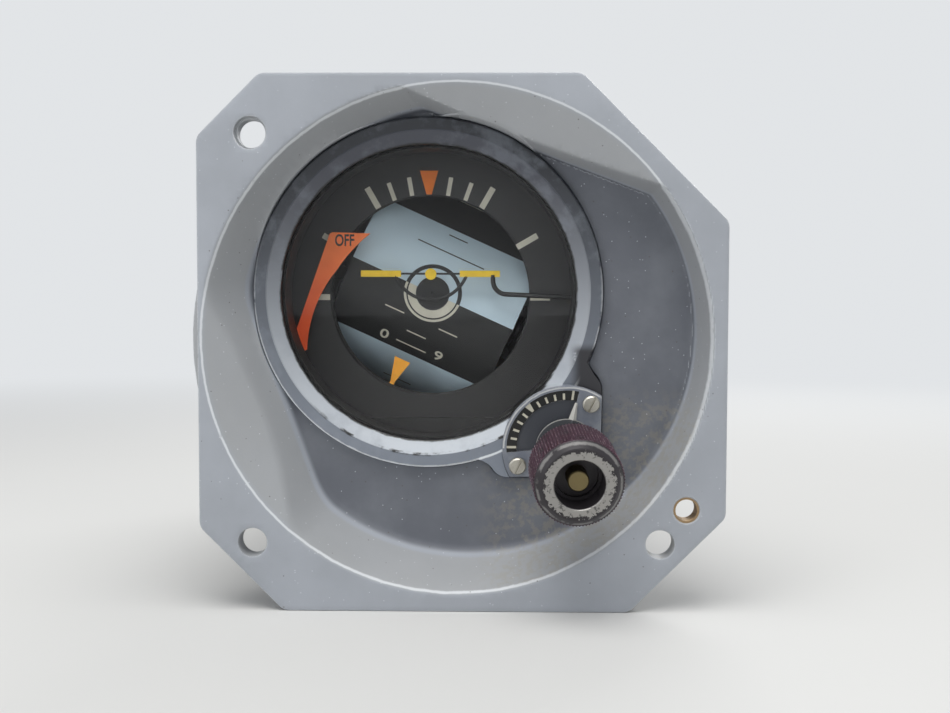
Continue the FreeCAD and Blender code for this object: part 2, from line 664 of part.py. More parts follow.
def trim_parts():
    save("trim_scale_plate", trim_scale_plate())
    save("trim_scale_marks", *trim_marks())
    screws = []
    for side in (-1, 1):
        x, z = polar(TRIM_SCREW_R, TRIM_MID_ANGLE + side * TRIM_SCREW_SPREAD, 0, 0)
        screws.append(canted(moved(slotted_screw(2.05, 0.7, 0.95, 5.5, -25.0), x, 0, z)))
    save("trim_scale_screws", *screws)
    bush = tube(BUSH_R, SHAFT_R + 1.0 + RUN_CLEAR, 0.6, 11.0, 0, 0)
    save("trim_bush", canted(bush))
    save("trim_pointer", trim_pointer())
    save("trim_sleeve", trim_sleeve())
    save("trim_knob", knob())
    save("knob_shaft", knob_shaft())
    save("knob_grub_screw", grub_screw())
    save("cage_spring", *cage_spring())


# ---- dial mask and what stands on it ----------------------------------------------------

def dial_mask():
    mask = cylinder(MASK_R, MASK_FRONT, MASK_BACK)
    x, z = MASK_OPENING_AT
    mask = mask.cut(cylinder(MASK_OPENING_R, MASK_FRONT - 1, MASK_BACK + 1, AX + x, AZ + z))
    rim = [edge for edge in mask.Edges if edge.Curve.TypeId == "Part::GeomCircle"
           and abs(edge.Curve.Radius - MASK_OPENING_R) < 0.01 and edge.BoundBox.YMax < MASK_FRONT + 0.01]
    mask = mask.makeChamfer(0.35, rim)
    mask = mask.cut(cylinder(0.62, 29, 32, AX + FLAG_PIVOT[0], AZ + FLAG_PIVOT[1]))
    return mask.cut(canted(cylinder(COLLAR_PASS_R, 15, 40, 0, 0)))


def roll_scale_marks():
    """Cream marks at 10, 20, 30, 60 and 90 degrees each side of the top."""
    narrow, wide = 0.54, 0.75
    sizes = {
        10: (26.0, 30.7, narrow), 20: (26.0, 30.7, narrow), 30: (26.0, 31.9, wide),
        60: (25.4, 31.3, wide), 90: (25.4, 30.4, wide),
    }
    x, z = SCALE_AT
    marks = []
    for angle, (inner, outer, half) in sizes.items():
        mark = block((inner, outer), (MASK_FRONT - PRINT_THICK, MASK_FRONT), (-half, half), AX, AZ)
        for side in (-1, 1):
            marks.append(moved(spun(mark, 90 + side * angle), x, 0, z))
    return marks


def roll_index():
    """The fixed index at the top of the roll scale."""
    middle = AX + SCALE_AT[0] - 0.24
    top, foot = AZ + 30.85, AZ + 24.9
    points = [(middle - 2.3, top), (middle + 2.3, top), (middle + 0.65, foot), (middle - 0.65, foot)]
    return polygon(points, MASK_FRONT - 0.4, MASK_FRONT)


def lower_shelf():
    """The raised step across the foot of the mask."""
    step = cylinder(MASK_R - 0.1, MASK_FRONT - 1.6, MASK_FRONT)
    step = step.cut(block((-50, 50), (0, 60), (-SHELF_DROP, 60), AX, AZ))
    slope = Part.makeBox(100, 3, 3, V(AX - 50, MASK_FRONT - 1.6, AZ - SHELF_DROP))
    slope.rotate(V(AX, MASK_FRONT - 1.6, AZ - SHELF_DROP - 0.6), V(1, 0, 0), 45)
    return step.cut(slope)


def plane_guide():
    """The upright guide rod of the miniature aeroplane and its two lugs on the mask."""
    top, bottom = 3.5, -15.0
    guide = Part.makeCylinder(0.6, top - bottom, V(AX + GUIDE_X, PLANE_Y, AZ + bottom), V(0, 0, 1))
    for low in (top, bottom - 1.2):
        lug = block((-1.0, 1.0), (PLANE_Y - 1.0, MASK_FRONT), (low, low + 1.2), AX + GUIDE_X, AZ)
        guide = guide.fuse(lug)
    return guide


def plane_slide():
    middle = -1.2
    slide = block((-1.7, 1.7), (PLANE_Y - 1.1, PLANE_Y + 1.1), (middle - 1.8, middle + 1.8), AX + GUIDE_X, AZ)
    bore = Part.makeCylinder(0.6 + RUN_CLEAR, 10, V(AX + GUIDE_X, PLANE_Y, AZ - 6), V(0, 0, 1))
    return slide.cut(bore)


def plane_bars():
    """The yellow wing bars and the centre dot."""
    span = (PLANE_Y - 0.4, PLANE_Y + 0.4)
    left = block((-17.9, -7.8), span, (PLANE_Z - 0.8, PLANE_Z + 0.8), AX, AZ)
    right = block((7.0, 17.1), span, (PLANE_Z - 0.8, PLANE_Z + 0.8), AX, AZ)
    dot = cylinder(1.42, PLANE_Y - 0.5, PLANE_Y + 0.5, AX - 0.3, AZ + PLANE_Z - 0.1)
    return [left, right, dot]


def plane_wire():
    """The black wires that carry the bars and the dot, and the arm to the slide."""
    spar = Part.makeCylinder(0.25, 15.2, V(AX - 8.0, PLANE_Y, AZ + PLANE_Z), V(1, 0, 0))
    bow_r = 9.6
    bow_z = AZ + PLANE_Z + 3.0
    start = V(*_on_bow(bow_r, bow_z, -158))
    middle = V(*_on_bow(bow_r, bow_z, -90))
    end = V(*_on_bow(bow_r, bow_z, -22))
    path = Part.Wire(Part.Arc(start, middle, end).toShape())
    heading = path.Edges[0].tangentAt(path.Edges[0].FirstParameter)
    bow = path.makePipeShell([Part.Wire(Part.makeCircle(0.42, start, heading))], True, True)
    arm_points = [
        V(AX + 15.3, PLANE_Y, AZ + 4.6), V(AX + 15.5, PLANE_Y, AZ - 0.1), V(AX + 35.6, PLANE_Y, AZ - 1.0),
    ]
    arm = rod(arm_points, 0.6, 3.4)
    solid_ends = plane_bars() + [plane_slide()]
    return [spar.fuse(bow).cut(solid_ends), arm.cut(solid_ends)]


def _on_bow(radius, z, angle):
    x, height = polar(radius, angle, AX - 0.3, z)
    return (x, PLANE_Y, height)


def off_flag():
    """The warning flag: a curved blade that widens to a pointed head, on a small hub."""
    pivot_x, pivot_z = FLAG_PIVOT
    outer_foot = (pivot_x - 0.9, pivot_z + 0.8)
    steps = [
        [(-34.1, -9.4)],
        [(-25.9, 13.9)],
        [(-25.55, 14.75), (-24.7, 15.2)],
        [(-15.4, 14.9)],
        [(-19.95, 10.7), (-23.7, 5.9)],
        [(-29.2, -3.4), (-31.4, -14.2)],
        [(pivot_x + 0.7, pivot_z - 0.95)],
        [outer_foot],
    ]
    blade = prism(outline(outer_foot, steps, FLAG_Y[0]), FLAG_Y[1] - FLAG_Y[0])
    blade.translate(V(AX, 0, AZ))
    hub = cylinder(1.3, FLAG_Y[0], FLAG_Y[1] + 1.2, AX + pivot_x, AZ + pivot_z)
    flag = blade.fuse(hub)
    return flag.cut(cylinder(0.6 + RUN_CLEAR, 20, 40, AX + pivot_x, AZ + pivot_z))


def mask_parts():
    save("dial_mask", dial_mask())
    save("roll_scale_marks", *roll_scale_marks())
    save("roll_index", roll_index())
    save("lower_shelf", lower_shelf())
    save("plane_guide", plane_guide())
    save("plane_slide", plane_slide())
    save("plane_bars", *plane_bars())
    save("plane_wire", *plane_wire())
    save("off_flag", off_flag())
    pivot = (AX + FLAG_PIVOT[0], AZ + FLAG_PIVOT[1])
    save("flag_pivot_pin", cylinder(0.6, FLAG_Y[0] - 0.5, 34.0, *pivot))
    coil = tube(3.3, 0.6, MASK_BACK, 34.4, *pivot)
    save("flag_solenoid", coil)


# ---- roll gimbal -----------------------------------------------------------------------

def roll_yoke():
    """The display ring, two arms that carry the drum, a crossbar and the hub of the roll shaft."""
    yoke = tube(RING_OUT_R, RING_BORE_R, *RING_Y)
    arm = block(ARM_U, (RING_Y[0], ARM_BACK), (-ARM_HALF_WIDTH, ARM_HALF_WIDTH), AX, AZ)
    for low, high in ((38.0, 50.0), (72.0, 86.0)):
        arm = arm.cut(block((20, 40), (low, high), (-3.6, 3.6), AX, AZ))
    boss = Part.makeCylinder(6.5, 4.9, V(AX + ARM_U[0], DRUM_Y, AZ), V(1, 0, 0))
    arm = arm.fuse(boss)
    arm = arm.cut(Part.makeCylinder(4.5, 20, V(AX + 20, DRUM_Y, AZ), V(1, 0, 0)))
    crossbar = block((-ARM_U[1], ARM_U[1]), (91.6, ARM_BACK), (-ARM_HALF_WIDTH, ARM_HALF_WIDTH), AX, AZ)
    hub = cylinder(8.0, ARM_BACK - 1, 98.0)
    yoke = yoke.fuse(both_sides(arm) + [crossbar, hub]).removeSplitter()
    return yoke.cut(cylinder(ROLL_SHAFT_R, 90, 100))


def roll_pointer():
    """The moving roll pointer: a wedge with its wide end inwards, on a short stem from the ring."""
    points = [(-0.65, -24.5), (0.65, -24.5), (2.15, -18.6), (-2.15, -18.6)]
    wedge = polygon([(AX + x, AZ + z) for x, z in points], RING_Y[0] - 0.3, RING_Y[0])
    stem = block((-0.6, 0.6), RING_Y, (-26.5, -20.0), AX, AZ)
    return wedge.fuse(stem).cut(tube(RING_OUT_R, RING_BORE_R, *RING_Y))


def pitch_bearings():
    ring = Part.makeCylinder(4.5, 3.0, V(AX + ARM_U[0], DRUM_Y, AZ), V(1, 0, 0))
    ring = ring.cut(Part.makeCylinder(TRUNNION_R + RUN_CLEAR, 20, V(AX + 20, DRUM_Y, AZ), V(1, 0, 0)))
    return both_sides(ring)


def slip_ring_drum():
    """Ring tracks with insulating lands between them."""
    profile = [(ROLL_SHAFT_R, 121.0), (7.0, 121.0), (7.0, 122.0)]
    tracks = 8
    pitch = 1.7
    for i in range(tracks):
        y = 122.0 + i * pitch
        profile += [(6.4, y), (6.4, y + 1.0), (7.0, y + 1.2), (7.0, y + pitch)]
    profile += [(7.0, 137.0), (ROLL_SHAFT_R, 137.0)]
    return turned(profile)


def roll_parts():
    save("roll_yoke", rolled(roll_yoke()))
    save("roll_pointer", rolled(roll_pointer()))
    save("pitch_bearings", *[rolled(ring) for ring in pitch_bearings()])
    save("roll_shaft", cylinder(ROLL_SHAFT_R, 91.6, 150.0))
    save("slip_ring_drum", slip_ring_drum())
    save("roll_motor_rotor", turned([
        (ROLL_SHAFT_R, 139.5), (10.0, 139.5), (10.0, 148.5), (6.0, 148.5), (6.0, 150.0),
        (ROLL_SHAFT_R, 150.0),
    ]))
    weight = Part.makeCylinder(3.4, 3.0, V(AX + 17.0, 95.0, AZ), Y_AXIS)
    save("roll_balance_weights", *[rolled(one) for one in both_sides(weight)])


# ---- pitch drum and gyro ---------------------------------------------------------------

def display_drum():
    start = V(AX - DRUM_HALF, DRUM_Y, AZ)
    drum = Part.makeCylinder(DRUM_R, 2 * DRUM_HALF, start, V(1, 0, 0))
    drum = drum.cut(Part.makeCylinder(DRUM_R - DRUM_WALL, 2 * DRUM_HALF, start, V(1, 0, 0)))
    return drum.cut(cylinder(POLE_CAP_R, 20, 100))


def drum_end_cap():
    """A dished end cap with six lightening holes, its hub and the trunnion that runs in the yoke."""
    bore = DRUM_R - DRUM_WALL
    outer_face = DRUM_HALF
    profile = [
        (0.0, 20.9), (bore, 20.9), (bore, outer_face), (bore - 2.0, outer_face),
        (bore - 3.0, outer_face - 0.6), (8.0, outer_face - 0.6), (6.0, outer_face),
        (6.0, outer_face + 0.8), (3.4, outer_face + 1.6), (TRUNNION_R, outer_face + 1.6),
        (TRUNNION_R, 29.0), (0.0, 29.0),
    ]
    points = [V(AX + along, DRUM_Y + radius, AZ) for radius, along in profile]
    cap = Part.Face(Part.makePolygon(points + [points[0]])).revolve(V(AX, DRUM_Y, AZ), V(1, 0, 0), 360)
    for i in range(6):
        angle = math.radians(60.0 * i + 30.0)
        at = V(AX + 15, DRUM_Y + 16.5 * math.cos(angle), AZ + 16.5 * math.sin(angle))
        cap = cap.cut(Part.makeCylinder(4.2, 12, at, V(1, 0, 0)))
    return cap


def pole_cap(front):
    """The disc at the middle of the drum's pole, which holds one of the rotor's bearings."""
    profile = [
        (0.45, 0.0), (POLE_CAP_R - 0.05, 0.0), (POLE_CAP_R - 0.05, 6.2), (2.6, 6.2), (2.6, 2.6), (0.45, 2.6),
    ]
    if front:
        return turned([(radius, DRUM_Y - DRUM_R - 0.05 + depth) for radius, depth in profile])
    return turned([(radius, DRUM_Y + DRUM_R + 0.05 - depth) for radius, depth in profile])


def gyro_rotor():
    """The flywheel: a heavy rim on a thin web, open at the back for the motor stator."""
    front, back = ROTOR_Y
    return turned([
        (ROTOR_SHAFT_R, front - 2), (4.0, front - 2), (4.0, front), (ROTOR_R - 1, front),
        (ROTOR_R, front + 1), (ROTOR_R, back - 1), (ROTOR_R - 1, back), (13.2, back),
        (13.2, front + 4), (ROTOR_SHAFT_R, front + 4),
    ])


def rotor_stator():
    """The spin motor's winding on a stem from the rear pole cap."""
    front, back = ROTOR_Y
    return turned([
        (1.6, front + 4.8), (12.6, front + 4.8), (12.6, back - 1.5), (4.0, back - 1.5),
        (4.0, 83.8), (1.6, 83.8),
    ])


def drum_parts():
    save("display_drum", rolled(display_drum()))
    right, left = both_sides(drum_end_cap())
    save("drum_end_cap_right", rolled(right))
    save("drum_end_cap_left", rolled(left))
    save("pole_cap_front", pole_cap(True))
    save("pole_cap_rear", pole_cap(False))
    bearing_front = tube(2.6, ROTOR_SHAFT_R + RUN_CLEAR, 35.0, 37.6)
    bearing_rear = tube(2.6, ROTOR_SHAFT_R + RUN_CLEAR, 84.4, 87.0)
    save("rotor_bearings", bearing_front, bearing_rear)
    save("gyro_rotor", gyro_rotor())
    save("rotor_shaft", cylinder(ROTOR_SHAFT_R, 34.8, 87.2))
    save("rotor_stator", rotor_stator())


# ---- what stays still inside the case -----------------------------------------------------

def bearing_bulkhead():
    """The wall across the case that carries the roll bearings, with six openings for the wiring."""
    front, back = BULKHEAD_Y
    wall = turned([
        (6.5, front - 1), (10.0, front - 1), (10.0, front), (CASE_BORE_R - 0.05, front),
        (CASE_BORE_R - 0.05, back), (11.5, back), (10.0, back + 1.5), (10.0, 118.0), (6.5, 118.0),
    ])
    for i in range(6):
        wall = wall.cut(cylinder(6.0, front - 2, back + 1, *polar(28.0, 60.0 * i)))
    return wall


def brush_block():
    """The brush carrier above the slip rings, with one finger for each track."""
    carrier = block((-4.5, 4.5), (120.5, 137.5), (9.5, 13.5), AX, AZ)
    carrier = carrier.fuse(block((-4.5, 4.5), (BULKHEAD_Y[1], 137.5), (12.0, 15.0), AX, AZ))
    fingers = []
    for i in range(8):
        y = 122.2 + i * 1.7
        fingers.append(block((-0.5, 0.5), (y, y + 0.6), (6.6, 9.6), AX, AZ))
    return carrier.fuse(fingers)


def inner_parts():
    save("bearing_bulkhead", bearing_bulkhead())
    bearings = [tube(6.5, ROLL_SHAFT_R + RUN_CLEAR, y, y + 4.0) for y in (99.5, 113.5)]
    save("roll_bearings", *bearings)
    save("brush_block", brush_block())
    save("roll_motor_stator", tube(22.0, 10.6, 139.0, 149.0))
    posts = []
    for i in range(3):
        posts.append(cylinder(2.0, BULKHEAD_Y[1], 139.0, *polar(19.0, 120.0 * i - 30.0)))
    save("stator_posts", *posts)
    board = cylinder(36.0, 155.0, 156.6).cut(block((-50, 50), (150, 160), (-60, -26), AX, AZ))
    save("power_board", board)
    components = [
        block((-14, 14), (150.5, 155.0), (-24.5, -23.0), AX, AZ),
        cylinder(4.0, 150.2, 155.0, AX - 27.0, AZ + 4.0),
        cylinder(4.0, 150.2, 155.0, AX - 27.0, AZ - 6.0),
        block((24, 31), (150.0, 155.0), (-8, 8), AX, AZ),
        block((-8, 8), (150.6, 155.0), (24, 30), AX, AZ),
    ]
    save("board_components", *components)
    standoffs = []
    for angle in (20.0, 140.0, 260.0):
        reach = 33.0 if angle < 200 else 23.0
        standoffs.append(cylinder(1.8, 156.6, CASE_BACK, *polar(reach, angle)))
    save("board_standoffs", *standoffs)


# ---- build -----------------------------------------------------------------------------

def main():
    os.makedirs("parts", exist_ok=True)
    save("mounting_adapter", mounting_adapter())
    save("threaded_insert", threaded_insert())
    save("front_bezel", front_bezel())
    window_parts()
    save("case_shell", case_shell())
    save("gear_housing", gear_housing())
    save("adapter_screws", *adapter_screws())
    save("rear_cover", rear_cover())
    save("rear_cover_screws", *radial_screws())
    rear_connector()
    trim_parts()
    mask_parts()
    roll_parts()
    drum_parts()
    inner_parts()


main()
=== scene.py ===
"""Attitude indicator: the finishes, the prints and the cast adapter, dressed over the packed frame."""
import json
import math

import bmesh
import bpy
import numpy as np
from mathutils import Matrix, Vector
from mathutils.geometry import delaunay_2d_cdt


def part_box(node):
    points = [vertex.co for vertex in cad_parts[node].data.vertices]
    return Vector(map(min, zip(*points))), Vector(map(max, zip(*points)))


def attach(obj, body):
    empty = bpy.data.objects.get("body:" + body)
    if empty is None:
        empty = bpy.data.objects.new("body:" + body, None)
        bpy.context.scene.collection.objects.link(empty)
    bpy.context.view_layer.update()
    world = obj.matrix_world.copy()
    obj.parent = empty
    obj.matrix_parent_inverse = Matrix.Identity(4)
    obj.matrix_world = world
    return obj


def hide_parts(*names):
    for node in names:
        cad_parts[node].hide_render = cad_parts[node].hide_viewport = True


bl_info = {
    "name": "Attitude indicator",
    "version": (1, 0, 0),
    "blender": (4, 5, 0),
    "location": "3D View > Sidebar > Instrument",
    "description": "Dresses the frame of a panel gyro horizon with its paint, prints and cast adapter",
    "category": "Object",
}

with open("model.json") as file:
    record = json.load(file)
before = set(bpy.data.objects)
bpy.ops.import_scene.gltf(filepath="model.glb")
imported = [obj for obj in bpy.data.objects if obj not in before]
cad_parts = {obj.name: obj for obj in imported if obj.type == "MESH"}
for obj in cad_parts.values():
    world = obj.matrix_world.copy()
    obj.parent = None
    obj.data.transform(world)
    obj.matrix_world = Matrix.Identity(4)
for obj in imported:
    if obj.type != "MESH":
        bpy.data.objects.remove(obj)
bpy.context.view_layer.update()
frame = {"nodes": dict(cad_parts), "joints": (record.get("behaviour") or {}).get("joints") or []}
NODES = frame["nodes"]
JOINTS = {joint["name"]: joint for joint in frame["joints"]}
MM = 0.001


def corners_mm(node):
    """A CAD node's lowest and highest corners, in millimetres."""
    low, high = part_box(node)
    return low / MM, high / MM


def joint_mm(name):
    """A joint's place in millimetres and its direction."""
    joint = JOINTS[name]
    return Vector(joint["pos_m"]) / MM, Vector(joint["axis"]).normalized()


# ---- sizes read from the frame, in millimetres --------------------------------------------

GLASS_LOW, GLASS_HIGH = corners_mm("window_glass")
AX = (GLASS_LOW.x + GLASS_HIGH.x) / 2
AZ = (GLASS_LOW.z + GLASS_HIGH.z) / 2
ADAPTER_LOW, ADAPTER_HIGH = corners_mm("mounting_adapter")
BEZEL_LOW, BEZEL_HIGH = corners_mm("front_bezel")
RING_R = GLASS_HIGH.x - AX + 3.0
TRIM_AT, KNOB_AXIS = joint_mm("knob_turn")
DRUM_AT, DRUM_AXIS = joint_mm("pitch")
DRUM_UP = Vector((0, 1, 0)).cross(DRUM_AXIS)
DRUM_R = DRUM_AT.y - corners_mm("display_drum")[0].y
FLAG_FRONT = corners_mm("off_flag")[0].y

# ---- sizes of the adapter casting, as in its CAD solid --------------------------------------

PLATE_THICK = 5.5
PLATE_BACK = ADAPTER_HIGH.y
SHOULDER_R = -ADAPTER_LOW.x
SPIGOT_R = SHOULDER_R - 0.6
PLATE_SIDES = (
    (180, 59.6), (0, 62.3), (90, 60.8), (-90, 63.2),
    (135, 74.9), (45, 63.2), (-45, 73.05), (-135, 73.05),
)
RIM_R = 59.0
DISH_SLOPE = 0.40
DISH_DEPTH = 5.0
COLLAR_AT = (-5.5, 5.8)
COLLAR_R = 48.3
COLLAR_STEEP = 12.0 / (48.3 - 39.9)
FLOOR_Y = 12.0
FLOOR_AT = (3.0, 2.0)
FLOOR_R = 53.2
UPPER_WALL = (69.4, 42.0, 40.3)
LOWER_WALL = (200.2, 48.5, 40.2)
RING_GAP = 0.3
HOLE_HALF_PITCH = 47.2
HOLE_R = 3.3
INSERT_AT = (53.2, -39.2)
BOSS_RIGHT = 34.25
BOSS_BOTTOM = -33.1
BOSS_CORNER_R = 8.0


# ---- sizes of the trim parts, as in their CAD solids ----------------------------------------

KNOB_FRONT = 26.2
KNOB_LAND_R = 5.4
HUB_R = 7.2

# ---- stage and mesh limits -------------------------------------------------------------------

BACKDROP = (0.76, 0.78, 0.80)
SLIVER = 0.0002  # twice the area in mm2 below which a triangle of a sheet is left out

# ---- settings -----------------------------------------------------------------------------

def colour_prop(name, default, description):
    return bpy.props.FloatVectorProperty(
        name=name, description=description, default=default, size=3, subtype="COLOR", min=0, max=1)


class CastingSettings(bpy.types.PropertyGroup):
    paint: colour_prop("Paint", (0.37, 0.395, 0.44), "Light blue-grey enamel of the adapter")
    # The pocket floor's colour is partly a darker paint and partly painted shade of the deep recess.
    floor_paint_and_shade: colour_prop("Pocket paint", (0.135, 0.145, 0.17), "Darker grey on the pocket's floor")
    worn: colour_prop("Worn edge", (0.82, 0.85, 0.88), "Where the enamel is rubbed pale along edges")
    grime: colour_prop("Grime", (0.35, 0.31, 0.22), "Beige dirt at the foot of the pocket")
    blend: bpy.props.FloatProperty(
        name="Blend", description="How softly the bowl's surfaces run into each other", default=0.0011,
        min=0.0002, max=0.003, unit="LENGTH")
    fine_step: bpy.props.FloatProperty(
        name="Fine step", description="Spacing of the casting's points where it bends", default=0.0004,
        min=0.0002, max=0.002, unit="LENGTH")


class DialSettings(bpy.types.PropertyGroup):
    sky: colour_prop("Sky", (0.60, 0.74, 0.82), "Pale blue print on the drum")
    ground: colour_prop("Ground", (0.020, 0.020, 0.020), "Black print on the drum and the mask")
    cream: colour_prop("Cream", (0.72, 0.69, 0.57), "Printed marks")
    flag: colour_prop("Flag", (0.90, 0.10, 0.012), "Orange-red of the warning flag")
    index: colour_prop("Index", (0.95, 0.22, 0.01), "Orange of the fixed roll index")
    band_edge: bpy.props.FloatProperty(
        name="Band edge", description="Distance from the drum's pole where its colours change over",
        default=0.0171, min=0.005, max=0.028, unit="LENGTH")


class TrimSettings(bpy.types.PropertyGroup):
    anodise: colour_prop("Anodise", (0.030, 0.026, 0.030), "Dye of the knob")
    faded: colour_prop("Faded dye", (0.075, 0.028, 0.048), "Purple that shows where the dye has faded")
    land: bpy.props.FloatProperty(
        name="Land", description="Radius out to which the knob's face is rubbed bare", default=0.0076,
        min=0.006, max=0.0095, unit="LENGTH")


class StageSettings(bpy.types.PropertyGroup):
    floor: colour_prop("Floor", (0.74, 0.74, 0.73), "Pale floor")
    eye: bpy.props.FloatVectorProperty(
        name="Eye", description="Where the camera stands", default=(0.00952, -0.27499, 0.01020), size=3,
        subtype="TRANSLATION", unit="LENGTH")
    target: bpy.props.FloatVectorProperty(
        name="Target", description="What the camera looks at", default=(0.00439, 0.0, -0.00383), size=3,
        subtype="TRANSLATION", unit="LENGTH")
    lens: bpy.props.FloatProperty(name="Lens", description="Focal length, mm", default=45.47, min=10, max=200)


# ---- node trees ---------------------------------------------------------------------------

class Web:
    """A node tree being filled, with one short call for each kind of node."""

    def __init__(self, tree):
        self.tree = tree

    def add(self, kind, inputs=(), **settings):
        node = self.tree.nodes.new(kind)
        for key, value in settings.items():
            setattr(node, key, value)
        for key, value in dict(inputs).items():
            self.put(node.inputs[key], value)
        return node

    def put(self, socket, value):
        if isinstance(value, bpy.types.NodeSocket):
            self.tree.links.new(value, socket)
        elif value is not None:
            if socket.type == "RGBA" and len(value) == 3:
                value = (*value, 1.0)
            socket.default_value = value

    def math(self, operation, a, b=None, clamp=False):
        node = self.add("ShaderNodeMath", operation=operation, use_clamp=clamp)
        self.put(node.inputs[0], a)
        self.put(node.inputs[1], b)
        return node.outputs[0]

    def times(self, a, b):
        return self.math("MULTIPLY", a, b)

    def vector(self, operation, a, b=None):
        node = self.add("ShaderNodeVectorMath", operation=operation)
        self.put(node.inputs[0], a)
        self.put(node.inputs[1], b)
        return node.outputs["Value" if operation in ("DOT_PRODUCT", "LENGTH") else "Vector"]

    def step(self, value, low, high, out_low=0.0, out_high=1.0):
        """A smooth ramp from out_low at low to out_high at high."""
        node = self.add("ShaderNodeMapRange", interpolation_type="SMOOTHSTEP")
        for key, item in zip(("Value", "From Min", "From Max", "To Min", "To Max"),
                             (value, low, high, out_low, out_high)):
            self.put(node.inputs[key], item)
        return node.outputs["Result"]

    def band(self, value, low, high, soft):
        """1 between low and high, falling to 0 over the soft width outside them."""
        rise = self.step(value, low - soft, low)
        fall = self.step(value, high, high + soft, 1.0, 0.0)
        return self.math("MULTIPLY", rise, fall)

    def mix(self, mask, under, over):
        node = self.add("ShaderNodeMix", data_type="RGBA")
        self.put(node.inputs["Factor"], mask)
        self.put(node.inputs[6], under)
        self.put(node.inputs[7], over)
        return node.outputs[2]

    def blend(self, mask, under, over):
        """A number that goes from under to over with the mask."""
        node = self.add("ShaderNodeMix", data_type="FLOAT")
        self.put(node.inputs["Factor"], mask)
        self.put(node.inputs[2], under)
        self.put(node.inputs[3], over)
        return node.outputs[0]

    def noise(self, place, scale, detail=3.0, rough=0.5):
        inputs = {"Vector": place, "Scale": scale, "Detail": detail, "Roughness": rough}
        return self.add("ShaderNodeTexNoise", inputs).outputs["Fac"]

    def group(self, name, **inputs):
        node = self.add("ShaderNodeGroup", node_tree=GROUPS[name]())
        for key, value in inputs.items():
            self.put(node.inputs[key.replace("_", " ").title()], value)
        return node.outputs


def new_group(name, inputs, outputs):
    """An empty shader group with its sockets, and its Web, input and output nodes."""
    tree = bpy.data.node_groups.new(name, "ShaderNodeTree")
    for key, (kind, default) in inputs.items():
        socket = tree.interface.new_socket(key, in_out="INPUT", socket_type="NodeSocket" + kind)
        if default is not None:
            socket.default_value = default
    for key in outputs:
        tree.interface.new_socket(key, in_out="OUTPUT", socket_type="NodeSocketFloat")
    web = Web(tree)
    return web, web.add("NodeGroupInput").outputs, web.add("NodeGroupOutput").inputs


def once(build):
    """Builds a node group the first time it is asked for, and hands out the same one after that."""
    def get():
        name = build.__doc__.split(":")[0]
        if name not in bpy.data.node_groups:
            build(name)
        return bpy.data.node_groups[name]
    return get


@once
def patches_group(name):
    """Patches: a mask of cloudy patches that cover about the share asked for."""
    web, given, out = new_group(name, {
        "Place": ("Vector", None), "Scale": ("Float", 200.0), "Cover": ("Float", 0.5),
        "Soft": ("Float", 0.08)}, ["Mask"])
    cloud = web.noise(given["Place"], given["Scale"], 5.0, 0.6)
    edge = web.math("SUBTRACT", 0.72, web.times(given["Cover"], 0.44))
    low = web.math("SUBTRACT", edge, given["Soft"])
    high = web.math("ADD", edge, given["Soft"])
    web.put(out["Mask"], web.step(cloud, low, high))


@once
def worn_line_group(name):
    """Worn line: a broken, uneven line where a signed distance in millimetres is near zero."""
    web, given, out = new_group(name, {
        "Place": ("Vector", None), "Distance": ("Float", 0.0), "Width": ("Float", 0.4),
        "Scale": ("Float", 400.0), "Cover": ("Float", 0.7)}, ["Mask"])
    wobble = web.math("SUBTRACT", web.noise(given["Place"], given["Scale"], 4.0, 0.65), 0.5)
    shifted = web.math("ADD", given["Distance"], web.times(wobble, given["Width"]))
    near = web.math("SUBTRACT", given["Width"], web.math("ABSOLUTE", shifted))
    line = web.math("DIVIDE", near, given["Width"], clamp=True)
    line = web.step(line, 0.15, 0.75)
    broken = web.group("patches", place=given["Place"], scale=web.times(given["Scale"], 0.45),
                       cover=given["Cover"], soft=0.06)["Mask"]
    web.put(out["Mask"], web.times(line, broken))


@once
def specks_group(name):
    """Specks: small dots of dust or chips, in only some of the cells."""
    web, given, out = new_group(name, {
        "Place": ("Vector", None), "Scale": ("Float", 600.0), "Size": ("Float", 0.2),
        "Share": ("Float", 0.1)}, ["Mask"])
    cells = web.add("ShaderNodeTexVoronoi", {"Vector": given["Place"], "Scale": given["Scale"]})
    dot = web.math("LESS_THAN", cells.outputs["Distance"], given["Size"])
    pick = web.add("ShaderNodeSeparateColor", {"Color": cells.outputs["Color"]}).outputs["Red"]
    web.put(out["Mask"], web.times(dot, web.math("LESS_THAN", pick, given["Share"])))


@once
def polar_group(name):
    """Polar: the distance in millimetres from an axis along Y, and the depth behind the plate's face."""
    web, given, out = new_group(name, {
        "Place": ("Vector", None), "Axis X": ("Float", 0.0), "Axis Z": ("Float", 0.0)},
        ["Radius", "Depth", "Side", "Height"])
    parts = web.add("ShaderNodeSeparateXYZ", {"Vector": given["Place"]})
    side = web.math("SUBTRACT", web.times(parts.outputs["X"], 1 / MM), given["Axis X"])
    height = web.math("SUBTRACT", web.times(parts.outputs["Z"], 1 / MM), given["Axis Z"])
    squares = web.math("ADD", web.times(side, side), web.times(height, height))
    web.put(out["Radius"], web.math("SQRT", squares))
    web.put(out["Depth"], web.times(parts.outputs["Y"], 1 / MM))
    web.put(out["Side"], side)
    web.put(out["Height"], height)


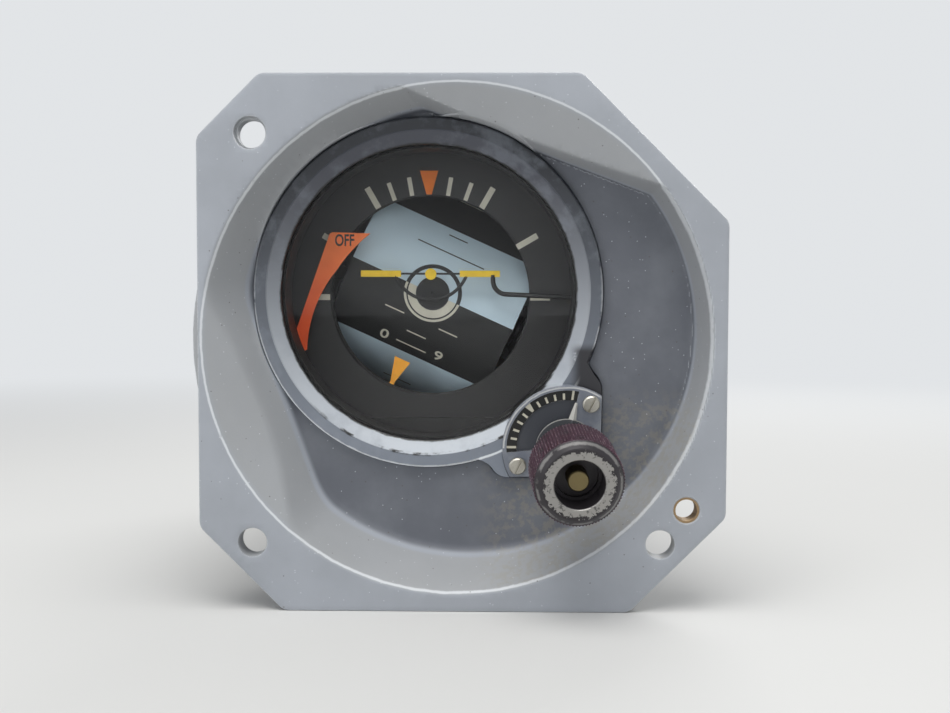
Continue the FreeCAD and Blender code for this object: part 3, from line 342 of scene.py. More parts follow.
@once
def canted_group(name):
    """Canted polar: radius and reach in millimetres about the trim knob's leaning axis, and the angle."""
    web, given, out = new_group(name, {"Place": ("Vector", None)}, ["Radius", "Reach", "Angle"])
    turn = canted_matrix().to_3x3()
    here = web.vector("SUBTRACT", given["Place"], tuple(TRIM_AT * MM))
    reach = web.times(web.vector("DOT_PRODUCT", here, tuple(KNOB_AXIS)), 1 / MM)
    across = web.times(web.vector("DOT_PRODUCT", here, tuple(turn.col[0])), 1 / MM)
    up = web.times(web.vector("DOT_PRODUCT", here, tuple(turn.col[2])), 1 / MM)
    squares = web.math("ADD", web.times(across, across), web.times(up, up))
    web.put(out["Radius"], web.math("SQRT", squares))
    web.put(out["Reach"], reach)
    web.put(out["Angle"], web.times(web.math("ARCTAN2", up, across), 180 / math.pi))


@once
def edge_group(name):
    """Rubbed edge: a mask along outside edges, found by rounding the surface, broken up by patches."""
    web, given, out = new_group(name, {
        "Place": ("Vector", None), "Width": ("Float", 0.25), "Scale": ("Float", 500.0),
        "Cover": ("Float", 0.6)}, ["Mask"])
    radius = web.times(given["Width"], MM)
    rounded = web.add("ShaderNodeBevel", {"Radius": radius}, samples=6).outputs["Normal"]
    true = web.add("ShaderNodeNewGeometry").outputs["Normal"]
    bend = web.math("SUBTRACT", 1.0, web.vector("DOT_PRODUCT", rounded, true))
    edge = web.step(bend, 0.01, 0.12)
    broken = web.group("patches", place=given["Place"], scale=given["Scale"], cover=given["Cover"],
                       soft=0.1)["Mask"]
    web.put(out["Mask"], web.times(edge, broken))


@once
def grain_group(name):
    """Grain: a fine sprayed or cast texture as a height."""
    web, given, out = new_group(name, {
        "Place": ("Vector", None), "Fine": ("Float", 3500.0), "Coarse": ("Float", 500.0),
        "Balance": ("Float", 0.5)}, ["Height"])
    fine = web.noise(given["Place"], given["Fine"], 2.0, 0.6)
    coarse = web.noise(given["Place"], given["Coarse"], 4.0, 0.55)
    web.put(out["Height"], web.blend(given["Balance"], fine, coarse))


@once
def turning_group(name):
    """Turning marks: fine rings that follow a radius in millimetres, as a height."""
    web, given, out = new_group(name, {"Radius": ("Float", 0.0), "Pitch": ("Float", 0.15)}, ["Height"])
    along = web.math("DIVIDE", given["Radius"], given["Pitch"])
    rings = web.add("ShaderNodeTexNoise", {"W": along, "Scale": 1.0, "Detail": 2.0},
                    noise_dimensions="1D")
    web.put(out["Height"], rings.outputs["Fac"])


GROUPS = {
    "patches": patches_group, "worn_line": worn_line_group, "specks": specks_group, "polar": polar_group,
    "canted": canted_group, "edge": edge_group, "grain": grain_group, "turning": turning_group,
}


def canted_matrix():
    """From trim parts drawn about the origin with their axis along -Y to their leaning place."""
    turn = Vector((0, -1, 0)).rotation_difference(KNOB_AXIS).to_matrix().to_4x4()
    return Matrix.Translation(TRIM_AT) @ turn


# ---- materials ----------------------------------------------------------------------------

def new_material(name):
    """A material with its Principled shader, its Web and the place of each point in the frame."""
    material = bpy.data.materials.new(name)
    material.use_nodes = True
    shader = material.node_tree.nodes["Principled BSDF"]
    web = Web(material.node_tree)
    place = web.add("ShaderNodeTexCoord").outputs["Object"]
    return material, web, shader, place


def bump(web, shader, height, strength, distance_mm):
    node = web.add("ShaderNodeBump", {
        "Height": height, "Strength": strength, "Distance": distance_mm * MM})
    web.put(shader.inputs["Normal"], node.outputs["Normal"])


def sprayed(material, web, shader, place, colour, rough, scales, relief):
    """Ends a sprayed or moulded finish: colour, roughness and grain of (fine, coarse), (strength, depth)."""
    web.put(shader.inputs["Base Color"], colour)
    web.put(shader.inputs["Roughness"], rough)
    grain = web.group("grain", place=place, fine=scales[0], coarse=scales[1])["Height"]
    bump(web, shader, grain, *relief)
    return material


def casting_paint(settings):
    """Enamel on the cast adapter: pale rubbed edges, darker pocket floor, brown grime at its foot."""
    material, web, shader, place = new_material("adapter enamel")
    polar = web.group("polar", place=place)
    radius, depth, height = polar["Radius"], polar["Depth"], polar["Height"]
    cloud = web.noise(place, 45.0, 4.0, 0.6)
    paint = web.mix(web.step(cloud, 0.3, 0.7), tuple(settings.paint), tuple(c * 1.13 for c in settings.paint))
    warm = web.times(web.band(depth, 0.6, 9.5, 0.8), 0.55)
    colour = web.mix(warm, paint, (0.37, 0.37, 0.36))
    # Painted shade: the pocket floor is darkened, partly by a darker paint and partly by shade painted into
    # the recess.
    floor = web.step(depth, 10.6, 11.7)
    colour = web.mix(floor, colour, tuple(settings.floor_paint_and_shade))
    streak = web.group("patches", place=place, scale=70.0, cover=0.35, soft=0.2)["Mask"]
    colour = web.mix(web.times(streak, 0.22), colour, (0.33, 0.35, 0.38))
    rim = web.group("worn_line", place=place, distance=web.math("SUBTRACT", radius, RIM_R - 0.2), width=0.45,
                    scale=260.0, cover=0.93)["Mask"]
    colour = web.mix(web.times(rim, 0.75), colour, tuple(settings.worn))
    edge = web.group("edge", place=place, width=0.5, scale=350.0, cover=0.7)["Mask"]
    colour = web.mix(web.times(edge, 0.6), colour, tuple(settings.worn))
    foot = web.times(web.band(height, -62.0, -20.0, 10.0),
                    web.band(polar["Side"], 14.0, 56.0, 12.0))
    foot = web.times(foot, web.band(depth, 1.5, 11.8, 1.5))
    dirt = web.group("patches", place=place, scale=620.0, cover=0.45, soft=0.08)["Mask"]
    dirt = web.times(web.times(dirt, foot), 0.28)
    colour = web.mix(dirt, colour, tuple(settings.grime))
    pits = web.group("specks", place=place, scale=900.0, size=0.16, share=0.06)["Mask"]
    colour = web.mix(web.times(pits, 0.6), colour, (0.10, 0.09, 0.08))
    dust = web.group("specks", place=place, scale=1500.0, size=0.2, share=0.05)["Mask"]
    colour = web.mix(web.times(dust, 0.5), colour, tuple(settings.worn))
    web.put(shader.inputs["Base Color"], colour)
    rough = web.blend(web.noise(place, 160.0, 3.0), 0.42, 0.60)
    web.put(shader.inputs["Roughness"], rough)
    grain = web.group("grain", place=place, fine=2600.0, coarse=420.0, balance=0.55)["Height"]
    bump(web, shader, grain, 0.35, 0.09)
    return material


def worn_enamel(name, under, over, worn, bare, wear=0.6, gloss=0.42):
    """Enamel on a machined piece, darker above and paler below, with rubbed and chipped edges."""
    material, web, shader, place = new_material(name)
    polar = web.group("polar", place=place, axis_x=AX, axis_z=AZ)
    # Painted shade: the colour runs from under at the bottom to over at the top, as light from above falls.
    painted_light_ramp = web.step(polar["Height"], -RING_R, RING_R)
    cloud = web.noise(place, 120.0, 4.0, 0.6)
    colour = web.mix(painted_light_ramp, under, over)
    colour = web.mix(web.times(web.step(cloud, 0.35, 0.75), 0.25), colour, worn)
    edge = web.group("edge", place=place, width=0.35, scale=420.0, cover=wear)["Mask"]
    colour = web.mix(web.times(edge, 0.8), colour, worn)
    chips = web.group("specks", place=place, scale=700.0, size=0.22, share=0.006)["Mask"]
    colour = web.mix(web.times(chips, 0.75), colour, bare)
    rough = web.blend(cloud, gloss - 0.08, gloss + 0.12)
    return sprayed(material, web, shader, place, colour, rough, (3200.0, 600.0), (0.25, 0.05))


def bezel_enamel():
    """The bezel's grey enamel: pale bevel, black chipped aperture edge and worn outer edge."""
    material, web, shader, place = new_material("bezel enamel")
    polar = web.group("polar", place=place, axis_x=AX, axis_z=AZ)
    radius, height, depth = polar["Radius"], polar["Height"], polar["Depth"]
    # Painted light: the flat face and the bevel are dark at the top, as painted shade under the adapter's
    # overhang, and pale at the bottom, as a painted highlight where the bevel faces the light.
    painted_light_ramp = web.step(height, -RING_R, RING_R * 0.8)
    flat = web.mix(painted_light_ramp, (0.22, 0.245, 0.29), (0.034, 0.037, 0.045))
    bevel = web.mix(painted_light_ramp, (0.58, 0.62, 0.67), (0.075, 0.08, 0.10))
    colour = web.mix(web.step(radius, 38.5, 38.7), bevel, flat)
    cloud = web.noise(place, 150.0, 5.0, 0.65)
    colour = web.mix(web.times(web.step(cloud, 0.45, 0.7), 0.30), colour, (0.30, 0.33, 0.38))
    black = web.group("worn_line", place=place, distance=web.math("SUBTRACT", radius, 35.2), width=0.75,
                      scale=300.0, cover=0.85)["Mask"]
    colour = web.mix(black, colour, (0.02, 0.02, 0.02))
    low = web.step(height, -24.0, -34.0)
    chip = web.group("worn_line", place=place, distance=web.math("SUBTRACT", radius, 38.5), width=0.6,
                     scale=420.0, cover=0.45)["Mask"]
    colour = web.mix(web.times(chip, low), colour, (0.02, 0.02, 0.02))
    # Pale broken line on the lower half of the outer edge: partly worn paint and partly a painted highlight.
    worn = web.group("worn_line", place=place, distance=web.math("SUBTRACT", radius, RING_R - 0.1), width=0.5,
                     scale=300.0, cover=0.8)["Mask"]
    worn = web.times(worn, web.step(height, 20.0, -25.0))
    colour = web.mix(worn, colour, (0.80, 0.83, 0.86))
    right = web.times(web.step(polar["Side"], 33.0, 36.5), web.band(height, -26.0, -14.0, 2.5))
    bared = web.group("patches", place=place, scale=260.0, cover=0.75, soft=0.05)["Mask"]
    colour = web.mix(web.times(right, bared), colour, (0.03, 0.03, 0.035))
    lip = web.times(web.step(depth, 11.6, 11.9), web.step(radius, 36.0, 35.5))
    colour = web.mix(lip, colour, (0.015, 0.015, 0.015))
    rough = web.blend(cloud, 0.34, 0.55)
    return sprayed(material, web, shader, place, colour, rough, (3000.0, 700.0), (0.22, 0.05))


def matt_black(name, shade=0.020, rough=0.62):
    """Matt black paint with a little dust."""
    material, web, shader, place = new_material(name)
    cloud = web.noise(place, 200.0, 4.0, 0.6)
    colour = web.mix(web.step(cloud, 0.3, 0.8), (shade, shade * 0.96, shade * 0.96),
                     (shade * 1.7, shade * 1.6, shade * 1.6))
    dust = web.group("specks", place=place, scale=1600.0, size=0.18, share=0.035)["Mask"]
    colour = web.mix(web.times(dust, 0.35), colour, (0.45, 0.43, 0.40))
    rough = web.blend(cloud, rough - 0.1, rough + 0.1)
    return sprayed(material, web, shader, place, colour, rough, (4200.0, 900.0), (0.12, 0.008))


def flat_paint(name, base, shift=0.12, rough=0.5, soil=0.15):
    """Brushed or printed paint: slight unevenness and a little soiling."""
    material, web, shader, place = new_material(name)
    cloud = web.noise(place, 420.0, 4.0, 0.6)
    colour = web.mix(web.step(cloud, 0.3, 0.75), base, tuple(c * (1 - shift) for c in base))
    edge = web.group("edge", place=place, width=0.12, scale=900.0, cover=0.5)["Mask"]
    colour = web.mix(web.times(edge, soil), colour, (0.05, 0.05, 0.05))
    rough = web.blend(cloud, rough - 0.06, rough + 0.1)
    return sprayed(material, web, shader, place, colour, rough, (5200.0, 1100.0), (0.15, 0.02))


def bare_metal(name, base, rough=0.32, tarnish=(0.16, 0.13, 0.10), soiled=0.35, metal=1.0):
    """Machined or plated metal: turning marks, tarnish in patches and brighter edges."""
    material, web, shader, place = new_material(name)
    cloud = web.noise(place, 300.0, 5.0, 0.65)
    colour = web.mix(web.times(web.step(cloud, 0.42, 0.75), soiled), base, tarnish)
    edge = web.group("edge", place=place, width=0.15, scale=700.0, cover=0.8)["Mask"]
    colour = web.mix(web.times(edge, 0.6), colour, tuple(min(1.0, c * 1.35) for c in base))
    web.put(shader.inputs["Base Color"], colour)
    shader.inputs["Metallic"].default_value = metal
    web.put(shader.inputs["Roughness"], web.blend(cloud, rough, rough + 0.22))
    fine = web.noise(place, 2600.0, 3.0, 0.7)
    bump(web, shader, fine, 0.18, 0.03)
    return material


def window_glass():
    """The flat window: clear, with a faint smear of dust."""
    material, web, shader, place = new_material("window glass")
    shader.inputs["Transmission Weight"].default_value = 1.0
    shader.inputs["IOR"].default_value = 1.25
    shader.inputs["Base Color"].default_value = (0.97, 0.98, 0.985, 1.0)
    web.put(shader.inputs["Roughness"], web.step(web.noise(place, 90.0, 4.0, 0.6), 0.45, 0.8, 0.0, 0.03))
    shadow = web.add("ShaderNodeLightPath").outputs["Is Shadow Ray"]
    web.put(shader.inputs["Alpha"], web.blend(shadow, 1.0, 0.08))
    return material


def knob_finish(settings):
    """Dyed aluminium: purple where the knurl has faded, bare on the land round the bore."""
    material, web, shader, place = new_material("knob anodise")
    canted = web.group("canted", place=place)
    radius, reach = canted["Radius"], canted["Reach"]
    cloud = web.noise(place, 420.0, 4.0, 0.6)
    dyed = tuple(settings.anodise)
    faded = web.group("patches", place=place, scale=330.0, cover=0.72, soft=0.16)["Mask"]
    tips = web.times(web.step(radius, 9.75, 10.05), faded)
    colour = web.mix(tips, dyed, tuple(settings.faded))
    # Pale pinkish crests of the knurl: partly rubbed-bare tips and partly painted glints.
    crest_wear_and_glint = web.group("patches", place=place, scale=900.0, cover=0.4, soft=0.07)["Mask"]
    crest = web.times(web.step(radius, 10.02, 10.12), crest_wear_and_glint)
    colour = web.mix(web.times(crest, 0.7), colour, (0.42, 0.30, 0.34))
    # Pale ring on the front: partly a polished line and partly a painted highlight.
    polish_and_highlight = web.group("worn_line", place=place, distance=web.math("SUBTRACT", radius, 9.3), width=0.5,
                    scale=600.0, cover=0.6)["Mask"]
    front = web.step(reach, KNOB_FRONT - 2.4, KNOB_FRONT - 1.4)
    colour = web.mix(web.times(web.times(polish_and_highlight, front), 0.55), colour, (0.34, 0.33, 0.32))
    ragged = web.math("ADD", radius, web.step(web.noise(place, 900.0, 4.0, 0.7), 0.35, 0.65, 0.5, -0.5))
    ring = web.times(web.band(ragged, KNOB_LAND_R, settings.land / MM, 0.15),
                    web.step(reach, KNOB_FRONT - 0.25, KNOB_FRONT - 0.1))
    spots = web.group("patches", place=place, scale=900.0, cover=0.72, soft=0.05)["Mask"]
    land = web.times(ring, web.blend(spots, 0.25, 1.0))
    colour = web.mix(land, colour, (0.34, 0.33, 0.315))
    web.put(shader.inputs["Base Color"], colour)
    web.put(shader.inputs["Metallic"], web.blend(land, 0.25, 0.85))
    web.put(shader.inputs["Roughness"], web.blend(cloud, 0.30, 0.50))
    bump(web, shader, web.noise(place, 2400.0, 3.0, 0.7), 0.2, 0.03)
    return material


def trim_pointer_paint():
    """The trim pointer: a white wedge on a grey hub."""
    material, web, shader, place = new_material("pointer white")
    radius = web.group("canted", place=place)["Radius"]
    cloud = web.noise(place, 420.0, 4.0, 0.6)
    white = web.mix(web.step(cloud, 0.3, 0.75), (0.70, 0.69, 0.65), (0.60, 0.59, 0.56))
    colour = web.mix(web.step(radius, HUB_R - 0.1, HUB_R + 0.1), (0.08, 0.085, 0.095), white)
    rough = web.blend(cloud, 0.42, 0.58)
    return sprayed(material, web, shader, place, colour, rough, (5200.0, 1100.0), (0.15, 0.02))


def trim_plate_paint():
    """The trim plate's grey-blue enamel, its black band and sunk floor, and the bright rubbed rim."""
    material, web, shader, place = new_material("trim plate enamel")
    canted = web.group("canted", place=place)
    radius, reach, angle = canted["Radius"], canted["Reach"], canted["Angle"]
    cloud = web.noise(place, 260.0, 4.0, 0.6)
    colour = web.mix(web.step(cloud, 0.35, 0.75), (0.20, 0.22, 0.27), (0.29, 0.31, 0.35))
    sunk = web.step(reach, -0.08, -0.2)
    band = web.times(web.band(radius, 11.55, 14.15, 0.05), sunk)
    colour = web.mix(band, colour, (0.018, 0.018, 0.018))
    floor = web.times(web.step(radius, 11.6, 11.5), sunk)
    colour = web.mix(floor, colour, (0.075, 0.08, 0.095))
    # Painted highlight: a pale broken line along the rim's upper arc, where the proud rim catches the light.
    rim = web.group("worn_line", place=place, distance=web.math("SUBTRACT", radius, 14.75), width=0.34,
                    scale=500.0, cover=0.85)["Mask"]
    upper = web.band(angle, 60.0, 205.0, 8.0)
    colour = web.mix(web.times(rim, upper), colour, (0.66, 0.67, 0.68))
    edge = web.group("edge", place=place, width=0.2, scale=600.0, cover=0.5)["Mask"]
    colour = web.mix(web.times(edge, 0.5), colour, (0.55, 0.56, 0.58))
    rough = web.blend(cloud, 0.38, 0.55)
    return sprayed(material, web, shader, place, colour, rough, (3500.0, 500.0), (0.2, 0.04))


def drum_print(settings):
    """The drum's print: sky and ground change over at the poles, the bands' edges and the horizon."""
    material, web, shader, place = new_material("drum print")
    here = web.vector("SUBTRACT", place, tuple(DRUM_AT * MM))
    up = web.times(web.vector("DOT_PRODUCT", here, tuple(DRUM_UP)), 1 / MM)
    back = web.times(web.vector("DOT_PRODUCT", here, (0.0, 1.0, 0.0)), 1 / MM)
    below = web.math("LESS_THAN", up, 0.0)
    outside = web.math("GREATER_THAN", web.math("ABSOLUTE", up), settings.band_edge / MM)
    behind = web.math("GREATER_THAN", back, 0.0)
    changes = web.math("ADD", web.math("ADD", below, outside), behind)
    odd = web.math("MODULO", changes, 2.0)
    cloud = web.noise(place, 130.0, 4.0, 0.6)
    sky = web.mix(cloud, tuple(settings.sky), tuple(c * 0.93 for c in settings.sky))
    colour = web.mix(odd, tuple(settings.ground), sky)
    horizon = web.math("LESS_THAN", web.math("ABSOLUTE", back), 0.3)
    colour = web.mix(horizon, colour, tuple(settings.cream))
    rough = web.blend(cloud, 0.45, 0.6)
    return sprayed(material, web, shader, place, colour, rough, (5200.0, 1200.0), (0.12, 0.02))


def flag_paint(settings):
    """Fluorescent flag paint: redder at the foot, brighter at the head."""
    material, web, shader, place = new_material("flag paint")
    polar = web.group("polar", place=place, axis_x=AX, axis_z=AZ)
    cloud = web.noise(place, 300.0, 4.0, 0.6)
    foot = tuple(settings.flag)
    colour = web.mix(web.step(polar["Height"], -10.0, 14.0), foot, (1.0, 0.22, 0.045))
    colour = web.mix(web.times(web.step(cloud, 0.4, 0.7), 0.18), colour, (0.62, 0.06, 0.01))
    rough = web.blend(cloud, 0.45, 0.6)
    return sprayed(material, web, shader, place, colour, rough, (3600.0, 700.0), (0.2, 0.04))


def moulded(name, base, rough=0.45):
    """Moulded plastic, rubber or varnished winding, with a little mottling."""
    material, web, shader, place = new_material(name)
    cloud = web.noise(place, 350.0, 4.0, 0.6)
    colour = web.mix(web.step(cloud, 0.3, 0.75), base, tuple(c * 0.7 for c in base))
    rough = web.blend(cloud, rough - 0.08, rough + 0.12)
    return sprayed(material, web, shader, place, colour, rough, (3500.0, 500.0), (0.2, 0.04))


def paint_nodes(material, *names):
    for name in names:
        for slot in NODES[name].material_slots:
            slot.material = material


# ---- mesh helpers -------------------------------------------------------------------------

def piece(name, points, faces, material, body, replaced=(), sharp=35.0, seam=0.02):
    """A mesh object from points in millimetres, smooth apart from edges sharper than the angle."""
    mesh = bpy.data.meshes.new(name)
    mesh.from_pydata([tuple(c * MM for c in p) for p in points], [], [tuple(f) for f in faces])
    shape = bmesh.new()
    shape.from_mesh(mesh)
    bmesh.ops.remove_doubles(shape, verts=shape.verts, dist=seam * MM)
    bmesh.ops.recalc_face_normals(shape, faces=shape.faces)
    shape.to_mesh(mesh)
    shape.free()
    mesh.shade_smooth()
    mesh.set_sharp_from_angle(angle=math.radians(sharp))
    obj = bpy.data.objects.new(name, mesh)
    bpy.context.scene.collection.objects.link(obj)
    mesh.materials.append(material)
    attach(obj, body)
    if replaced:
        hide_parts(*replaced)
    return obj


class Shape:
    """Points and faces being gathered, in millimetres."""

    def __init__(self):
        self.points = []
        self.faces = []

    def add(self, points, faces):
        base = len(self.points)
        self.points += [tuple(p) for p in points]
        self.faces += [tuple(base + i for i in face) for face in faces]

    def loft(self, loops):
        """Quads between closed loops with the same number of points."""
        count = len(loops[0])
        points = [p for loop in loops for p in loop]
        faces = []
        for row in range(len(loops) - 1):
            for i in range(count):
                j = (i + 1) % count
                faces.append((row * count + i, row * count + j, (row + 1) * count + j, (row + 1) * count + i))
        self.add(points, faces)

    def sheet(self, loops, keep, height, extra=()):
        """A triangulated sheet between flat closed loops of (x, z), raised by height(x, z)."""
        flat = []
        edges = []
        for loop in loops:
            base = len(flat)
            flat += [Vector(p) for p in loop]
            edges += [(base + i, base + (i + 1) % len(loop)) for i in range(len(loop))]
        flat += [Vector(p) for p in extra]
        points, _, faces = delaunay_2d_cdt(flat, edges, [], 0, 1e-5)[:3]
        x = np.array([p[0] for p in points])
        z = np.array([p[1] for p in points])
        tri = np.array([tuple(face) for face in faces])
        side_x, side_z = x[tri[:, 1:]] - x[tri[:, :1]], z[tri[:, 1:]] - z[tri[:, :1]]
        twice_area = np.abs(side_x[:, 0] * side_z[:, 1] - side_x[:, 1] * side_z[:, 0])
        kept = tri[keep(x[tri].mean(axis=1), z[tri].mean(axis=1)) & (twice_area > SLIVER)]
        y = height(x, z)
        self.add(np.stack([x, y, z], axis=1).tolist(), kept.tolist())


def circle(radius, x=0.0, z=0.0, count=96):
    turn = [2 * math.pi * i / count for i in range(count)]
    return [(x + radius * math.cos(a), z + radius * math.sin(a)) for a in turn]


def at_depth(loop, y):
    return [(x, y, z) for x, z in loop]


def arc(start, middle, end, count):
    """Points on the round line through three points, without the last."""
    ax, az = start
    bx, bz = middle
    cx, cz = end
    d = 2 * (ax * (bz - cz) + bx * (cz - az) + cx * (az - bz))
    a2, b2, c2 = ax * ax + az * az, bx * bx + bz * bz, cx * cx + cz * cz
    ox = (a2 * (bz - cz) + b2 * (cz - az) + c2 * (az - bz)) / d
    oz = (a2 * (cx - bx) + b2 * (ax - cx) + c2 * (bx - ax)) / d
    radius = math.hypot(ax - ox, az - oz)
    first = math.atan2(az - oz, ax - ox)
    last = math.atan2(cz - oz, cx - ox)
    mid = math.atan2(bz - oz, bx - ox)
    if (mid - first) % (2 * math.pi) > (last - first) % (2 * math.pi):
        span = (last - first) % (2 * math.pi) - 2 * math.pi
    else:
        span = (last - first) % (2 * math.pi)
    turns = [first + span * i / count for i in range(count)]
    return [(ox + radius * math.cos(a), oz + radius * math.sin(a)) for a in turns]


def on_circle(radius, degrees, x=AX, z=AZ):
    return (x + radius * math.cos(math.radians(degrees)), z + radius * math.sin(math.radians(degrees)))


def ring_path(gap):
    """The bezel's outline grown by the gap: the round ring, then the square corner that carries the knob."""
    right = BOSS_RIGHT + gap
    bottom = BOSS_BOTTOM - gap
    top = on_circle(RING_R + gap, -23.5)
    left = on_circle(RING_R + gap, -73.0)
    corner = (right - BOSS_CORNER_R, bottom + BOSS_CORNER_R)
    top_end = (top[0] + 0.75, top[1] - 1.5 + gap * 0.3)
    top_mid = ((top[0] + right) / 2, -8.8 + gap * 0.7)
    left_mid = (8.4 - gap * 0.7, (left[1] + bottom) / 2)
    path = arc(top, on_circle(RING_R + gap, 130.0), left, 260)
    path += arc(left, (left[0] + 1.7, left[1] - 0.65), left_mid, 10)
    path += arc(left_mid, (9.9, bottom + 0.55), (11.9, bottom), 8)
    path += [(11.9 + (corner[0] - 11.9) * i / 12, bottom) for i in range(12)]
    path += arc((corner[0], bottom), on_circle(BOSS_CORNER_R, -45.0, *corner), (right, corner[1]), 24)
    path += [(right, corner[1] + (-11.9 - corner[1]) * i / 10) for i in range(10)]
    path += arc((right, -11.9), (right - 0.45, -10.3), top_mid, 8)
    path += arc(top_mid, top_end, top, 10)
    return path


def inside(loop):
    """A test for whether points lie inside a closed loop."""
    xs = np.array([p[0] for p in loop])
    zs = np.array([p[1] for p in loop])

    def test(x, z):
        found = np.zeros(np.shape(x), bool)
        for i in range(len(xs)):
            x0, z0, x1, z1 = xs[i - 1], zs[i - 1], xs[i], zs[i]
            if z0 == z1:
                continue
            crosses = (z0 > z) != (z1 > z)
            found ^= crosses & (x < (x1 - x0) * (z - z0) / (z1 - z0) + x0)
        return found
    return test


def smooth_min(a, b, blend):
    near = np.clip(blend - np.abs(a - b), 0, None) / blend
    return np.minimum(a, b) - near * near * blend / 4


def smooth_max(a, b, blend):
    return -smooth_min(-a, -b, blend)


# ---- the cast adapter ---------------------------------------------------------------------

def across(wall, x, z):
    """How far points lie from the instrument axis, square to a straight wall."""
    angle = math.radians(wall[0])
    return (x - AX) * math.cos(angle) + (z - AZ) * math.sin(angle)


def bowl_depth(x, z, blend):
    """How deep the bowl is below the plate's face: a shallow dish, a steep collar and the finger pocket."""
    radius = np.hypot(x, z)
    dish = smooth_min((RIM_R - radius) * DISH_SLOPE, np.full_like(x, DISH_DEPTH), 0.4)
    collar = (COLLAR_R - np.hypot(x - COLLAR_AT[0], z - COLLAR_AT[1])) * COLLAR_STEEP
    a = FLOOR_AT[0] ** 2 + FLOOR_AT[1] ** 2 - (RIM_R - FLOOR_R) ** 2
    b = 2 * RIM_R * (RIM_R - FLOOR_R) - 2 * (x * FLOOR_AT[0] + z * FLOOR_AT[1])
    c = radius ** 2 - RIM_R ** 2
    leaning = FLOOR_Y * (-b + np.sqrt(b * b - 4 * a * c)) / (2 * a)
    upper = FLOOR_Y * (UPPER_WALL[1] - across(UPPER_WALL, x, z)) / (UPPER_WALL[1] - UPPER_WALL[2])
    lower = FLOOR_Y * (LOWER_WALL[1] - across(LOWER_WALL, x, z)) / (LOWER_WALL[1] - LOWER_WALL[2])
    pocket = smooth_min(leaning, lower, 3.0 * blend)
    pocket = smooth_min(pocket, upper, 2.0 * blend)
    pocket = smooth_min(pocket, np.full_like(x, FLOOR_Y), 1.8 * blend)
    depth = smooth_max(dish, np.minimum(collar, FLOOR_Y), blend)
    depth = np.minimum(smooth_max(depth, pocket, blend), FLOOR_Y)
    return smooth_max(depth, np.zeros_like(x), 0.10)


def plate_radius(turn, inset):
    """The distance to the eight-sided outline in each direction, with rounded corners."""
    found = np.full_like(turn, 1e3)
    for degrees, distance in PLATE_SIDES:
        facing = np.cos(turn - math.radians(degrees))
        reach = np.where(facing > 0.2, (distance - inset) / np.maximum(facing, 0.2), 1e3)
        found = smooth_min(found, reach, 1.1)
    return found


def bending_points(height, low, high, fine, coarse_every=4, limit=0.012):
    """Grid points, close together only where the surface bends."""
    xs = np.arange(low[0], high[0], fine)
    zs = np.arange(low[1], high[1], fine)
    x, z = np.meshgrid(xs, zs, indexing="ij")
    y = height(x, z)
    bend = np.zeros_like(y)
    bend[1:-1, 1:-1] = np.abs(y[2:, 1:-1] + y[:-2, 1:-1] + y[1:-1, 2:] + y[1:-1, :-2] - 4 * y[1:-1, 1:-1])
    take = bend > limit
    take[::coarse_every, ::coarse_every] = True
    return x[take], z[take]


def plate_well(shape, x, z, steps, count=48):
    """A round hole through the plate, from (radius, depth) steps; returns its top loop."""
    loops = [at_depth(circle(radius, x, z, count), depth) for radius, depth in steps]
    shape.loft(loops)
    return circle(steps[0][0], x, z, count)


